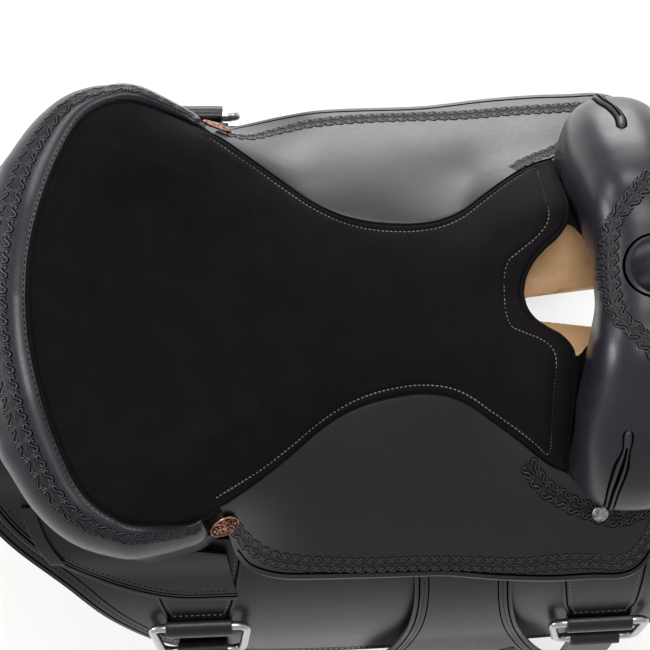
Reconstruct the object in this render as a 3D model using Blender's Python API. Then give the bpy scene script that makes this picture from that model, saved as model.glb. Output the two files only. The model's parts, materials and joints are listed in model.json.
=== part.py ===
"""Western trail saddle as an assembly of named pieces.

Sizes are millimetres and degrees until make_object turns them into metres.
+X points to the horse's head, +Y to its near (left) side and +Z up.
The origin lies on the horse's spine under the middle of the seat.
"""

import math

import bmesh
import bpy
import numpy as np

MM = 0.001
FIT_GAP = 0.4
SMOOTH_LIMIT = math.radians(40.0)

# Horse's back: slope of one side (degrees) against distance out from the spine
BACK_SLOPES = ((0, 8), (64, 20), (130, 38), (200, 56), (231, 68), (290, 82), (360, 86), (430, 88))
BACK_CENTRE_HEIGHT = 12.0
BACK_ROCKER = 8.0
BACK_ROCKER_LENGTH = 250.0
BACK_TWIST = 2.0

# Top of the seat leather: X, distance from the middle, height
SEAT_HEIGHTS = (
    (-222, 0, 148), (-190, 0, 114), (-150, 0, 88), (-90, 0, 74), (-20, 0, 72), (52, 0, 84),
    (100, 0, 97), (130, 0, 107), (160, 0, 122), (-213, 69, 141), (-191, 131, 121), (-146, 159, 94),
    (-150, 80, 90), (-90, 80, 76), (-90, 143, 62), (-86, 156, 26), (-20, 70, 66), (-20, 110, 44),
    (-20, 150, 13), (-20, 181, -18), (52, 64, 71), (52, 100, 49), (52, 150, 14), (52, 182, -18),
    (100, 30, 98), (100, 70, 75), (100, 110, 42), (100, 150, 14), (100, 185, -18), (152, 58, 127),
    (150, 90, 88), (150, 117, 46), (150, 150, 17), (150, 188, -18), (204, 190, -18), (204, 150, 12),
    (204, 117, 33), (250, 165, 0), (-84, 172, -18),
)

# Seat pad outline, near side, from the middle of the cantle to the keyhole
PAD_REAR = ((-222, 0), (-221, 24), (-218, 46), (-213, 69), (-207, 91), (-200, 111), (-191, 131),
            (-181, 144), (-166, 154), (-150, 158.5))
PAD_SIDE = ((-150, 158.5), (-118, 154), (-86, 138), (-62, 121), (-40, 104), (-20, 88), (0, 76),
            (20, 69), (40, 65.5), (58, 64.5), (76, 67), (92, 74), (108, 86), (124, 98), (140, 110),
            (152, 117), (162, 121))
PAD_FRONT = ((130, 0), (132.5, 12), (138, 22), (146, 30), (155, 37), (162, 46), (164, 54),
             (165, 66), (164, 82), (163, 95), (162, 109), (162, 121))
PAD_THICKNESS = 8.0
PAD_BED_GAP = 2.2
PAD_CROWN = 3.0
PAD_EDGE_DROP = 2.2
PAD_STITCH_DEPTH = 1.4

GROUND_SEAT_THICKNESS = 5.0
GROUND_SEAT_FRONT = 118.0
SEAT_LEATHER = 4.5
JOCKEY_OUTER = ((-84, 168), (-72, 175), (-51, 179), (-20, 181.5), (20, 182), (67, 182), (91, 184),
                (115, 186.5), (152, 189), (182, 188.5), (205, 189), (219, 183), (231, 168), (240, 146))
JOCKEY_INNER_FRONT = ((162, 121.5), (171, 128), (182, 133), (200, 135), (218, 133), (236, 126))
JOCKEY_REAR_X = -93.0

REAR_JOCKEY_INNER = ((-238, 31), (-238, 60), (-230, 90), (-212, 117), (-184, 138), (-150, 150), (-94, 160))
REAR_JOCKEY_OUTER = ((-288, 31), (-286, 78), (-266, 122), (-232, 158), (-190, 186), (-140, 204), (-88, 206))

FLEECE_THICKNESS = 14.0
LAYER_GAP = 0.8
SKIRT_THICKNESS = 4.0
SKIRT_INNER = 30.0
SKIRT_OUTLINE = ((-300, 62), (-290, 112), (-262, 152), (-220, 196), (-182, 246), (-140, 296), (-90, 328),
                 (0, 342), (110, 342), (186, 334), (238, 308), (268, 262), (284, 200), (288, 130), (280, 62))

BAR_THICKNESS = 26.0
BAR_EDGE_THICKNESS = 9.0
BAR_REAR_X = -284.0
BAR_FRONT_X = 236.0
BAR_INNER = 29.0
BAR_OUTER = 148.0
BAR_TIP_RADIUS = 62.0
SLOT_INNER = 117.0
SLOT_WIDTH = 9.0

STRAP_X = 88.0
STRAP_WIDTH = 64.0
STRAP_THICKNESS = 4.0
STRAP_CLEARANCE = 0.6
HINGE_OUT = 152.0
DRAPE_END = 330.0
HANG_BLEND = 60.0
HANG_CLEARANCE = 4.5
FENDER_THICKNESS = 4.0
FENDER_START = 170.0
FENDER_LENGTH = 420.0
FENDER_NECK = 76.0
FENDER_WIDTH = 172.0
BOLT_HEIGHT = -640.0
ROLLER_RADIUS = 8.0
BOLT_RADIUS = 5.0
BOLT_HEAD_RADIUS = 9.0
BOLT_HEAD_LENGTH = 4.0
RETURN_LENGTH = 112.0
SLEEVE_HEIGHT = 25.0
SLEEVE_WALL = 2.2
SLEEVE_DROP = 70.0
KEEPER_DROP = 32.0
KEEPER_HEIGHT = 20.0
KEEPER_WALL = 3.0

STIRRUP_INSIDE = 127.0
STIRRUP_TOP_INSIDE = 70.0
STIRRUP_WALL = 9.0
STIRRUP_HEIGHT = 148.0
STIRRUP_DEPTH_TOP = 34.0
STIRRUP_DEPTH_TREAD = 66.0
TREAD_THICKNESS = 5.0
TREAD_LENGTH = 78.0

PLATE_THICKNESS = 4.0
PLATE_START = 152.0
DEE_WIRE = 3.5
DEE_WIDTH = 76.0
DEE_DEPTH = 48.0
DEE_CORNER = 10.0
DEE_TAPER = 6.0
LOOP_CLEARANCE = 0.6
FRONT_RIG_X = 198.0
FRONT_RIG_OUT = 258.0
REAR_RIG_X = -120.0
REAR_RIG_OUT = 236.0
BILLET_WIDTH = 40.0
BILLET_THICKNESS = 3.2

SWELL_CENTRE_HEIGHT = 60.0
SWELL_END_ANGLE = 101.5
# Angle from upright, outer radius, inner radius, middle X, half thickness along X
SWELL_SECTIONS = (
    (0, 118, 38, 216, 36), (14, 121, 39, 216, 36), (28, 132, 42, 213, 37), (42, 136, 45, 211, 39),
    (54, 140, 49, 209, 41), (66, 148, 53, 207, 41), (76, 154.5, 57, 206, 40), (86, 156, 60, 205, 40),
    (94, 147, 63, 204, 41), (101.5, 134, 66, 203, 41),
)
SWELL_SQUARENESS = 2.5
COVER_THICKNESS = 3.0
COVER_LIP_ANGLE = 48.0

HORN_BASE = (220.0, 22.0)
HORN_LEAN = 30.0
HORN_HEIGHT = 60.0
HORN_WAIST_RADIUS = 18.0
HORN_CAP_RADIUS = 35.0
HORN_CAP_THICKNESS = 13.0
HORN_CAP_TILT = 14.0

ROLL_PROFILE = ((0.6, -2.0), (3, 0.6), (9, 2.0), (17, -1.0), (25, -8.5), (31, -18), (34, -28), (34.5, -36))
ROLL_THICKNESS = 6.5
ROLL_END_SCALE = 0.62
CANTLE_FOOT = 58.0
CANTLE_SPAN = 0.70
CANTLE_BACK_THICKNESS = 3.0
CANTLE_BACK_END = ((-108, 149.8), (-101, 146.5))

KEEPER_X = 249.0
KEEPER_OUT = (194.0, 240.0)
KEEPER_HALF_WIDTHS = (27.0, 22.0)
KEEPER_LEATHER = 4.0
KEEPER_SLOT_OUT = 212.0
KEEPER_SLOT_LENGTH = BILLET_WIDTH + 2.0
KEEPER_SLOT_WIDTH = 6.0

STRING_PATH = ((-236, 134), (-231, 147), (-226, 158), (-222, 168))
STRING_WIDTH = 9.0
STRING_THICKNESS = 2.4
STRING_GAP = 0.35

CONCHO_RADIUS = 11.5
CONCHO_HEIGHT = 4.0
SMALL_CONCHO_RADIUS = 6.0
SMALL_CONCHO_HEIGHT = 2.6
REAR_CONCHO_AT = (-92.0, 152.0)
FRONT_CONCHO_AT = (188.0, 148.0)

BLACK_LEATHER = ((0.016, 0.016, 0.018), 0.38, 0.0)
BLACK_SUEDE = ((0.008, 0.007, 0.007), 0.95, 0.0)
TAN_LEATHER = ((0.46, 0.25, 0.11), 0.55, 0.0)
WOOD = ((0.33, 0.19, 0.09), 0.6, 0.0)
FLEECE = ((0.62, 0.52, 0.38), 0.95, 0.0)
STEEL = ((0.55, 0.55, 0.56), 0.28, 1.0)
COPPER = ((0.42, 0.2, 0.12), 0.35, 1.0)
RUBBER = ((0.02, 0.02, 0.02), 0.8, 0.0)

SIDES = (("near", 1.0), ("off", -1.0))


def fleece_top():
    return FLEECE_THICKNESS


def skirt_bottom():
    return fleece_top() + LAYER_GAP


def skirt_top():
    return skirt_bottom() + SKIRT_THICKNESS


def tree_bottom():
    return skirt_top() + LAYER_GAP


def strap_mid():
    return tree_bottom() + STRAP_THICKNESS / 2


def fender_mid():
    return tree_bottom() + STRAP_THICKNESS + LAYER_GAP + FENDER_THICKNESS / 2


def dee_level():
    return tree_bottom() + PLATE_THICKNESS + LOOP_CLEARANCE + DEE_WIRE


def slope_table():
    """Distance out, slope and their running sums along one side of the back."""
    out = np.arange(0.0, 431.0, 1.0)
    knots = np.array(BACK_SLOPES, float)
    angle = np.radians(np.interp(out, knots[:, 0], knots[:, 1]))
    across = np.concatenate(([0.0], np.cumsum(np.cos((angle[1:] + angle[:-1]) / 2))))
    down = np.concatenate(([0.0], np.cumsum(np.sin((angle[1:] + angle[:-1]) / 2))))
    return out, angle, across, down


BACK = slope_table()


def back_angle(x, out):
    """Slope of the back at a distance out from the spine, in radians."""
    twist = math.radians(BACK_TWIST) * np.asarray(x) / BACK_ROCKER_LENGTH
    return np.interp(out, BACK[0], BACK[1]) + twist


def skin(x, out, lift):
    """Point that lies lift above the horse's back, out from the spine at X."""
    x, out, lift = np.broadcast_arrays(np.asarray(x, float), out, lift)
    twist = math.radians(BACK_TWIST) * x / BACK_ROCKER_LENGTH
    across = np.interp(out, BACK[0], BACK[2])
    down = np.interp(out, BACK[0], BACK[3])
    y = np.cos(twist) * across - np.sin(twist) * down
    z = BACK_CENTRE_HEIGHT + BACK_ROCKER * (x / BACK_ROCKER_LENGTH) ** 2
    z = z - np.cos(twist) * down - np.sin(twist) * across
    angle = back_angle(x, out)
    return np.stack((x, y + lift * np.sin(angle), z + lift * np.cos(angle)), -1)


def hanging(x, along, lift, centre_x, start):
    """Follows the back as far as start and then turns to hang straight down.

    The straight part keeps one distance from the horse across the strap.
    """
    x, along, lift = np.broadcast_arrays(np.asarray(x, float), along, lift)
    upper = skin(x, np.minimum(along, DRAPE_END), lift)
    upper[..., 2] -= np.maximum(along - DRAPE_END, 0.0)
    anchor = skin(centre_x, DRAPE_END, strap_mid())
    lower = np.stack((x, anchor[1] + HANG_CLEARANCE + lift - strap_mid(), anchor[2] - along + DRAPE_END), -1)
    weight = np.clip((along - start) / HANG_BLEND, 0.0, 1.0)[..., None]
    weight = weight * weight * (3 - 2 * weight)
    return upper * (1 - weight) + lower * weight


def skin_coordinates(x, point):
    """Distance out and lift of a near-side point above the back at X."""
    out = np.linspace(1.0, 420.0, 2096)
    base = skin(x, out, 0.0)
    apart = np.hypot(base[:, 1] - point[1], base[:, 2] - point[2])
    nearest = int(np.argmin(apart))
    return float(out[nearest]), float(apart[nearest])


def spline_kernel(distance):
    return distance ** 2 * np.log(np.maximum(distance, 1e-9))


def fit_heights(points):
    """Thin-plate weights of a height surface through points on both sides."""
    rows = [row for row in points] + [(x, -y, z) for x, y, z in points if y > 0]
    rows = np.array(rows, float)
    count = len(rows)
    apart = np.hypot(rows[:, None, 0] - rows[None, :, 0], rows[:, None, 1] - rows[None, :, 1])
    plane = np.column_stack((np.ones(count), rows[:, :2]))
    matrix = np.zeros((count + 3, count + 3))
    matrix[:count, :count] = spline_kernel(apart) + 150.0 * np.eye(count)
    matrix[:count, count:] = plane
    matrix[count:, :count] = plane.T
    return rows[:, :2], np.linalg.solve(matrix, np.concatenate((rows[:, 2], np.zeros(3))))


SEAT_FIT = fit_heights(SEAT_HEIGHTS)


def seat_height(x, y):
    """Height of the seat leather's top at X, Y."""
    x, y = np.broadcast_arrays(np.asarray(x, float), np.asarray(y, float))
    centres, weights = SEAT_FIT
    apart = np.hypot(x[..., None] - centres[:, 0], y[..., None] - centres[:, 1])
    plane = weights[-3] + weights[-2] * x + weights[-1] * y
    return spline_kernel(apart) @ weights[:-3] + plane


def seat_skin(x, y, lift):
    """Point straight above X, Y that lies lift from the seat leather's top."""
    step = 0.5
    slope_x = (seat_height(x + step, y) - seat_height(x - step, y)) / (2 * step)
    slope_y = (seat_height(x, y + step) - seat_height(x, y - step)) / (2 * step)
    x, y, lift, size = np.broadcast_arrays(x, y, lift, np.sqrt(1 + slope_x ** 2 + slope_y ** 2))
    return np.stack((x, y, seat_height(x, y) + lift * size), -1)


def seat_normal(x, y):
    """Upward normal of the seat leather at X, Y."""
    step = 0.5
    slope_x = (seat_height(x + step, y) - seat_height(x - step, y)) / (2 * step)
    slope_y = (seat_height(x, y + step) - seat_height(x, y - step)) / (2 * step)
    normal = np.array((-float(slope_x), -float(slope_y), 1.0))
    return normal / np.linalg.norm(normal)


def bar_rise(out):
    """Thickness of a tree bar at a distance out from the spine."""
    share = np.clip((SLOT_INNER + 3.0 - np.asarray(out, float)) / 42.0, 0.0, 1.0)
    share = share * share * (3 - 2 * share)
    return BAR_EDGE_THICKNESS + (BAR_THICKNESS - BAR_EDGE_THICKNESS) * share


def swell_values(angle):
    """Outer radius, inner radius, middle X and half thickness at an angle."""
    knots = np.array(SWELL_SECTIONS, float)
    angle = np.abs(angle)
    values = [smooth_interp(angle, knots[:, 0], knots[:, column]) for column in range(1, 5)]
    return values


def smooth_interp(at, knots, values):
    """Cubic interpolation with level ends, so a mirrored form stays smooth."""
    at = np.clip(np.asarray(at, float), knots[0], knots[-1])
    slopes = np.gradient(values, knots)
    slopes[0] = 0.0
    index = np.clip(np.searchsorted(knots, at) - 1, 0, len(knots) - 2)
    width = knots[index + 1] - knots[index]
    part = (at - knots[index]) / width
    start, end = values[index], values[index + 1]
    lead, trail = slopes[index] * width, slopes[index + 1] * width
    return (start * (2 * part ** 3 - 3 * part ** 2 + 1) + end * (3 * part ** 2 - 2 * part ** 3)
            + lead * (part ** 3 - 2 * part ** 2 + part) + trail * (part ** 3 - part ** 2))


def swell_skin(angle, turn, inset):
    """Point on the swell's section at a turn round it, inset from its outside."""
    angle, turn = np.broadcast_arrays(np.asarray(angle, float), np.asarray(turn, float))
    outer, inner, middle, half = swell_values(angle)
    power = 2.0 / SWELL_SQUARENESS
    wide = half - inset
    tall = (outer - inner) / 2 - inset
    cosine, sine = np.cos(np.radians(turn)), np.sin(np.radians(turn))
    x = middle + wide * np.sign(cosine) * np.abs(cosine) ** power
    radius = (outer + inner) / 2 + tall * np.sign(sine) * np.abs(sine) ** power
    tilt = np.radians(angle)
    return np.stack((x, radius * np.sin(tilt), SWELL_CENTRE_HEIGHT + radius * np.cos(tilt)), -1)


def swell_top(x, y):
    """Height of the swell's top at X, Y, found by stepping towards it."""
    z = 170.0
    for _ in range(30):
        angle = math.degrees(math.atan2(y, z - SWELL_CENTRE_HEIGHT))
        outer, inner, middle, half = swell_values(angle)
        share = min(abs(x - middle) / half, 0.999)
        rise = (1 - share ** SWELL_SQUARENESS) ** (1 / SWELL_SQUARENESS)
        radius = (outer + inner) / 2 + (outer - inner) / 2 * rise
        z = SWELL_CENTRE_HEIGHT + radius * math.cos(math.radians(angle))
    return float(z)


def swell_rear(y, z):
    """X of the swell's rear face at Y, Z, or its middle where there is no face."""
    angle = math.degrees(math.atan2(abs(y), z - SWELL_CENTRE_HEIGHT))
    outer, inner, middle, half = swell_values(angle)
    radius = math.hypot(y, z - SWELL_CENTRE_HEIGHT)
    share = min(abs(radius - (outer + inner) / 2) / ((outer - inner) / 2), 1.0)
    return float(middle - half * (1 - share ** SWELL_SQUARENESS) ** (1 / SWELL_SQUARENESS))


def curve(points, count):
    """Evenly spaced points on a smooth curve through the given ones."""
    points = np.array(points, float)
    first = 2 * points[0] - points[1]
    last = 2 * points[-1] - points[-2]
    padded = np.vstack((first, points, last))
    dense = []
    for index in range(len(points) - 1):
        before, start, end, after = padded[index:index + 4]
        for part in np.linspace(0, 1, 12, endpoint=False):
            dense.append(0.5 * (2 * start + (end - before) * part
                                + (2 * before - 5 * start + 4 * end - after) * part ** 2
                                + (3 * start - before - 3 * end + after) * part ** 3))
    dense.append(points[-1])
    return resample(np.array(dense), np.linspace(0, 1, count))


def resample(points, shares):
    """Points at the given shares of a polyline's length."""
    steps = np.linalg.norm(np.diff(points, axis=0), axis=1)
    length = np.concatenate(([0.0], np.cumsum(steps)))
    return np.stack([np.interp(np.asarray(shares) * length[-1], length, points[:, axis])
                     for axis in range(points.shape[1])], -1)


def mirrored(points):
    """The near-side curve with its off-side half put before it."""
    other = points[::-1].copy()
    other[:, 1] *= -1
    return np.vstack((other[:-1], points))


def fill_patch(rear, front, off_side, near_side, along, across):
    """Grid of points between four outline curves."""
    along = along[:, None, None]
    across = across[None, :, None]
    ruled = rear[None] * (1 - along) + front[None] * along
    sided = off_side[:, None] * (1 - across) + near_side[:, None] * across
    corners = (rear[0] * (1 - along) * (1 - across) + rear[-1] * (1 - along) * across
               + front[0] * along * (1 - across) + front[-1] * along * across)
    return ruled + sided - corners


def edge_shares(count, edge=(0.0, 0.035, 0.075, 0.12)):
    """Shares from 0 to 1 that crowd together at both ends."""
    middle = np.linspace(edge[-1], 1 - edge[-1], count)
    return np.concatenate((edge[:-1], middle, 1 - np.array(edge[:-1])[::-1]))


def make_object(name, vertices, faces, finish, parent=None):
    """Closed mesh object in metres, facing outwards, with its own material."""
    mesh = bpy.data.meshes.new(name)
    mesh.from_pydata([tuple(np.array(v) * MM) for v in vertices], [], [tuple(f) for f in faces])
    work = bmesh.new()
    work.from_mesh(mesh)
    if work.calc_volume(signed=True) < 0:
        bmesh.ops.reverse_faces(work, faces=work.faces)
    for face in work.faces:
        face.smooth = True
    for edge in work.edges:
        edge.smooth = len(edge.link_faces) == 2 and edge.calc_face_angle(0.0) < SMOOTH_LIMIT
    work.to_mesh(mesh)
    work.free()
    piece = bpy.data.objects.new(name, mesh)
    bpy.context.collection.objects.link(piece)
    mesh.materials.append(make_material(name, finish))
    if parent is not None:
        piece.parent = parent
        piece.matrix_parent_inverse = parent.matrix_world.inverted()
    return piece


def make_material(name, finish):
    """Principled material named for its piece."""
    colour, roughness, metallic = finish
    material = bpy.data.materials.new(name + "_finish")
    material.use_nodes = True
    shader = material.node_tree.nodes["Principled BSDF"]
    shader.inputs["Base Color"].default_value = (*colour, 1.0)
    shader.inputs["Roughness"].default_value = roughness
    shader.inputs["Metallic"].default_value = metallic
    return material


def pivot(name, position):
    """Empty on a joint's axis that carries the pieces of a moving body."""
    empty = bpy.data.objects.new(name, None)
    empty.location = np.array(position) * MM
    bpy.context.collection.objects.link(empty)
    bpy.context.view_layer.update()
    return empty


def shell(name, top, bottom, finish, parent=None):
    """Sheet of leather or board between two equal grids of points."""
    rows, columns = top.shape[:2]
    vertices = list(top.reshape(-1, 3)) + list(bottom.reshape(-1, 3))
    base = rows * columns

    def at(row, column):
        return row * columns + column

    faces = []
    for row in range(rows - 1):
        for column in range(columns - 1):
            first, last = at(row, column), at(row + 1, column + 1)
            for corner in ((first, at(row + 1, column), last), (first, last, at(row, column + 1))):
                faces.append(corner)
                faces.append(tuple(base + i for i in corner[::-1]))
    rim = [at(row, 0) for row in range(rows)]
    rim += [at(rows - 1, column) for column in range(1, columns)]
    rim += [at(row, columns - 1) for row in range(rows - 2, -1, -1)]
    rim += [at(0, column) for column in range(columns - 2, 0, -1)]
    for start, end in zip(rim, rim[1:] + rim[:1]):
        faces.append((end, start, base + start, base + end))
    return make_object(name, vertices, faces, finish, parent)


def loft(name, loops, finish, parent=None):
    """Solid through closed loops with equal counts, capped at both ends."""
    count = len(loops[0])
    vertices = [point for loop in loops for point in loop]
    faces = [tuple(range(count))]
    for level in range(len(loops) - 1):
        low, high = level * count, (level + 1) * count
        for index in range(count):
            step = (index + 1) % count
            faces.append((low + index, high + index, high + step))
            faces.append((low + index, high + step, low + step))
    faces.append(tuple(range(len(vertices) - 1, len(vertices) - count - 1, -1)))
    return make_object(name, vertices, faces, finish, parent)


def tube_ring(name, path, radius, finish, parent=None, sides=6):
    """Closed ring of round wire along a closed path."""
    path = np.array(path, float)
    count = len(path)
    vertices, faces = [], []
    centre = path.mean(axis=0)
    normal = np.cross(path[count // 4] - centre, path[0] - centre)
    normal = normal / np.linalg.norm(normal)
    for index in range(count):
        along = path[(index + 1) % count] - path[index - 1]
        along = along / np.linalg.norm(along)
        outward = np.cross(along, normal)
        for side in range(sides):
            turn = 2 * math.pi * side / sides
            vertices.append(path[index] + radius * (math.cos(turn) * outward + math.sin(turn) * normal))
    for index in range(count):
        following = (index + 1) % count
        for side in range(sides):
            step = (side + 1) % sides
            faces.append((index * sides + side, index * sides + step,
                          following * sides + step, following * sides + side))
    return make_object(name, vertices, faces, finish, parent)


def lathe(name, profile, origin, axis, finish, parent=None, sides=24):
    """Solid of revolution: profile rows are distance along the axis and radius."""
    axis = np.array(axis, float) / np.linalg.norm(axis)
    helper = np.array((0.0, 0.0, 1.0)) if abs(axis[2]) < 0.9 else np.array((1.0, 0.0, 0.0))
    first = np.cross(axis, helper)
    first = first / np.linalg.norm(first)
    second = np.cross(axis, first)
    loops = []
    for along, radius in profile:
        ring = []
        for side in range(sides):
            turn = 2 * math.pi * side / sides
            ring.append(np.array(origin) + along * axis
                        + radius * (math.cos(turn) * first + math.sin(turn) * second))
        loops.append(ring)
    return loft(name, loops, finish, parent)


def ribbon(name, path, thickness, half_width, centre_x, surface, side, finish, parent=None, columns=2):
    """Strap of even thickness along a path of (distance out, lift) points.

    half_width gives the strap's half width for each point of the path.
    """
    path = np.array(path, float)
    ahead = np.gradient(path, axis=0)
    ahead /= np.linalg.norm(ahead, axis=1)[:, None]
    across = np.stack((-ahead[:, 1], ahead[:, 0]), -1)
    grids = []
    for offset in (thickness / 2, -thickness / 2):
        line = path + across * offset
        shares = np.linspace(-1, 1, columns)
        x = centre_x + np.asarray(half_width, float)[:, None] * shares[None]
        grids.append(flip(surface(x, line[:, 0][:, None], line[:, 1][:, None]), side))
    return shell(name, grids[0], grids[1], finish, parent)


def flip(points, side):
    """The near-side points, or their mirror image for the off side."""
    return points * np.array((1.0, side, 1.0))


def build_bar(name, side):
    """One tree bar: a shaped board along the back with a slot for the strap."""
    count = 17
    share = (1 - np.cos(np.linspace(0, math.pi, count))) / 2
    x = BAR_REAR_X + (BAR_FRONT_X - BAR_REAR_X) * share
    from_tip = np.minimum(x - BAR_REAR_X, BAR_FRONT_X - x)
    depth = np.clip((BAR_TIP_RADIUS - from_tip) / BAR_TIP_RADIUS, 0.0, 0.97)
    half = (BAR_OUTER - BAR_INNER) / 2 * np.sqrt(1 - depth ** 2)
    middle = (BAR_OUTER + BAR_INNER) / 2
    across = np.array((-1.0, -0.9, -0.5, 0.0, 0.3, 0.55, 0.9, 1.0))
    out = middle + half[:, None] * across[None]
    rise = bar_rise(out) - np.where(np.abs(across) > 0.95, 3.0, 0.0)[None]
    rise = rise - 8.0 * depth[:, None] ** 2
    grid_x = np.repeat(x[:, None], len(across), axis=1)
    top = flip(skin(grid_x, out, tree_bottom() + rise), side)
    bottom = flip(skin(grid_x, out, tree_bottom() + 0.0 * out), side)
    bar = shell(name, top, bottom, WOOD)
    cut_slot(bar, name, side)
    return bar


def cut_slot(bar, name, side):
    """Slot through the bar that lets the stirrup leather pass over its edge."""
    half = STRAP_WIDTH / 2 + 3 * STRAP_CLEARANCE
    x = np.array((STRAP_X - half, STRAP_X + half))[:, None]
    out = np.array((SLOT_INNER, SLOT_INNER + SLOT_WIDTH))[None]
    grid_x, grid_out = np.broadcast_arrays(x, out)
    low = flip(skin(grid_x, grid_out, tree_bottom() - 6.0), side)
    high = flip(skin(grid_x, grid_out, tree_bottom() + 2 * BAR_THICKNESS), side)
    cut(bar, name + "_slot", high, low)


def swell_stations():
    """Angles across the swell and turns round it for the cover and the lining."""
    angles = np.linspace(-SWELL_END_ANGLE, SWELL_END_ANGLE, 23)
    cover = np.linspace(-COVER_LIP_ANGLE, 180 + COVER_LIP_ANGLE, 13)
    lining = np.linspace(180 + COVER_LIP_ANGLE + 2, 360 - COVER_LIP_ANGLE - 2, 4)
    return angles, cover, lining


def build_fork():
    """Wooden fork arch between the two bars."""
    angles, cover_turns, lining_turns = swell_stations()
    turns = np.concatenate((cover_turns, lining_turns[1:-1]))
    inset = COVER_THICKNESS + FIT_GAP
    loops = [swell_skin(angle, turns, inset) for angle in angles]
    return loft("fork", loops, WOOD)


def build_swell_cover():
    """Leather cover that wraps the fork's front, top and rear."""
    angles, turns, _ = swell_stations()
    grid_angle, grid_turn = np.meshgrid(angles, turns, indexing="ij")
    top = swell_skin(grid_angle, grid_turn, 0.0)
    bottom = swell_skin(grid_angle, grid_turn, COVER_THICKNESS)
    return shell("swell_cover", top, bottom, BLACK_LEATHER)


def build_gullet_lining():
    """Leather lining under the fork's arch."""
    angles, _, turns = swell_stations()
    grid_angle, grid_turn = np.meshgrid(angles, turns, indexing="ij")
    top = swell_skin(grid_angle, grid_turn, 0.0)
    bottom = swell_skin(grid_angle, grid_turn, COVER_THICKNESS)
    return shell("gullet_lining", top, bottom, BLACK_LEATHER)


def build_horn():
    """Leather-wrapped horn neck on the swell, with its sewn cap."""
    base_x, base_radius = HORN_BASE
    lean = math.radians(HORN_LEAN)
    axis = np.array((math.sin(lean), 0.0, math.cos(lean)))
    turns = np.radians(np.linspace(0, 360, 20, endpoint=False))
    foot = np.array((base_x, 0.0, swell_top(base_x, 0.0)))
    tilt = math.radians(HORN_CAP_TILT)
    cap_axis = np.array((math.sin(tilt), 0.0, math.cos(tilt)))
    cap_centre = foot + axis * HORN_HEIGHT
    loops = []
    for share in (0.12, 0.4, 0.7, 1.0):
        reach = share * base_radius
        ring = [(base_x + reach * math.cos(t), reach * math.sin(t)) for t in turns]
        loops.append([(x, y, swell_top(x, y) + LAYER_GAP) for x, y in ring])
    sizes = ((0.22, 0.88), (0.45, HORN_WAIST_RADIUS / base_radius), (0.7, 0.8), (0.88, 0.9))
    side_axis = np.array((0.0, 1.0, 0.0))
    for height, size in sizes:
        blend = height ** 2
        up = axis * (1 - blend) + cap_axis * blend
        fore = np.cross(side_axis, up)
        fore = fore / np.linalg.norm(fore)
        centre = foot + axis * HORN_HEIGHT * height
        loops.append([centre + base_radius * size * (math.cos(t) * fore + math.sin(t) * side_axis)
                      for t in turns])
    fore = np.cross(side_axis, cap_axis)
    loops.append([cap_centre - cap_axis * FIT_GAP
                  + base_radius * (math.cos(t) * fore + math.sin(t) * side_axis) for t in turns])
    loft("horn_neck", loops, BLACK_LEATHER)
    radius, depth = HORN_CAP_RADIUS, HORN_CAP_THICKNESS
    profile = [(0, radius * 0.9), (depth * 0.2, radius * 0.985), (depth * 0.45, radius),
               (depth * 0.7, radius * 0.97), (depth * 0.9, radius * 0.86), (depth, radius * 0.6),
               (depth * 1.04, radius * 0.25)]
    lathe("horn_cap", profile, cap_centre, cap_axis, BLACK_LEATHER, sides=24)


def pad_outline(count_rear, shares_side, inset=0.0, front_x=None):
    """Rear, front, off and near curves of the seat pad, drawn in by inset."""
    rear_points = np.array(PAD_REAR, float)
    side_points = np.array(PAD_SIDE, float)
    front_points = np.array(PAD_FRONT, float)
    if front_x is not None:
        side_points = side_points[side_points[:, 0] < front_x - 4]
        edge = np.interp(front_x, np.array(PAD_SIDE)[:, 0], np.array(PAD_SIDE)[:, 1])
        side_points = np.vstack((side_points, (front_x, edge)))
        front_points = np.array(((front_x, 0.0), (front_x, edge / 2), (front_x, edge)))
    if inset:
        rear_points = rear_points * (1 - inset / 160.0)
        side_points = side_points - (0.0, inset)
        front_points = front_points - (inset, 0.0)
        front_points[-1] = side_points[-1] = (front_points[-1][0], side_points[-1][1])
        side_points[0] = rear_points[-1]
    half = (count_rear + 1) // 2
    rear = mirrored(curve(rear_points, half))
    front = mirrored(curve(front_points, half))
    near = resample(curve(side_points, 120), shares_side)
    off = near * (1, -1)
    return rear, front, off, near


def pad_grid(columns, along, inset=0.0, front_x=None, across=None):
    """Plan grid over the seat pad and the share of the way across and along."""
    rear, front, off, near = pad_outline(columns, along, inset, front_x)
    even = np.linspace(0, 1, columns)
    if across is None:
        across = even
    rear = np.stack([np.interp(across, even, rear[:, axis]) for axis in range(2)], -1)
    front = np.stack([np.interp(across, even, front[:, axis]) for axis in range(2)], -1)
    return fill_patch(rear, front, off, near, along, across)


def edge_shape(share):
    """Height of the pad's face against how far in from its edge a point is."""
    return np.interp(share, (0.0, 0.035, 0.075, 0.12, 0.3, 0.5),
                     (-PAD_EDGE_DROP, -0.3, -PAD_STITCH_DEPTH, 0.35 * PAD_CROWN, 0.8 * PAD_CROWN, PAD_CROWN))


def build_seat_pad():
    """Suede-covered foam pad with a sewn channel just inside its edge."""
    along = edge_shares(15)
    across = edge_shares(17)
    plan = pad_grid(61, along, across=across)
    from_side = np.minimum(across, 1 - across)[None, :]
    from_end = np.minimum(along, 1 - along)[:, None]
    lift = np.minimum(edge_shape(from_side), edge_shape(from_end))
    lift = np.where((from_side < 0.04) | (from_end < 0.02), np.minimum(lift, -0.3), lift)
    top = seat_skin(plan[..., 0], plan[..., 1], lift)
    bottom = seat_skin(plan[..., 0], plan[..., 1], -PAD_THICKNESS + 0.0 * lift)
    return shell("seat_pad", top, bottom, BLACK_SUEDE)


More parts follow.
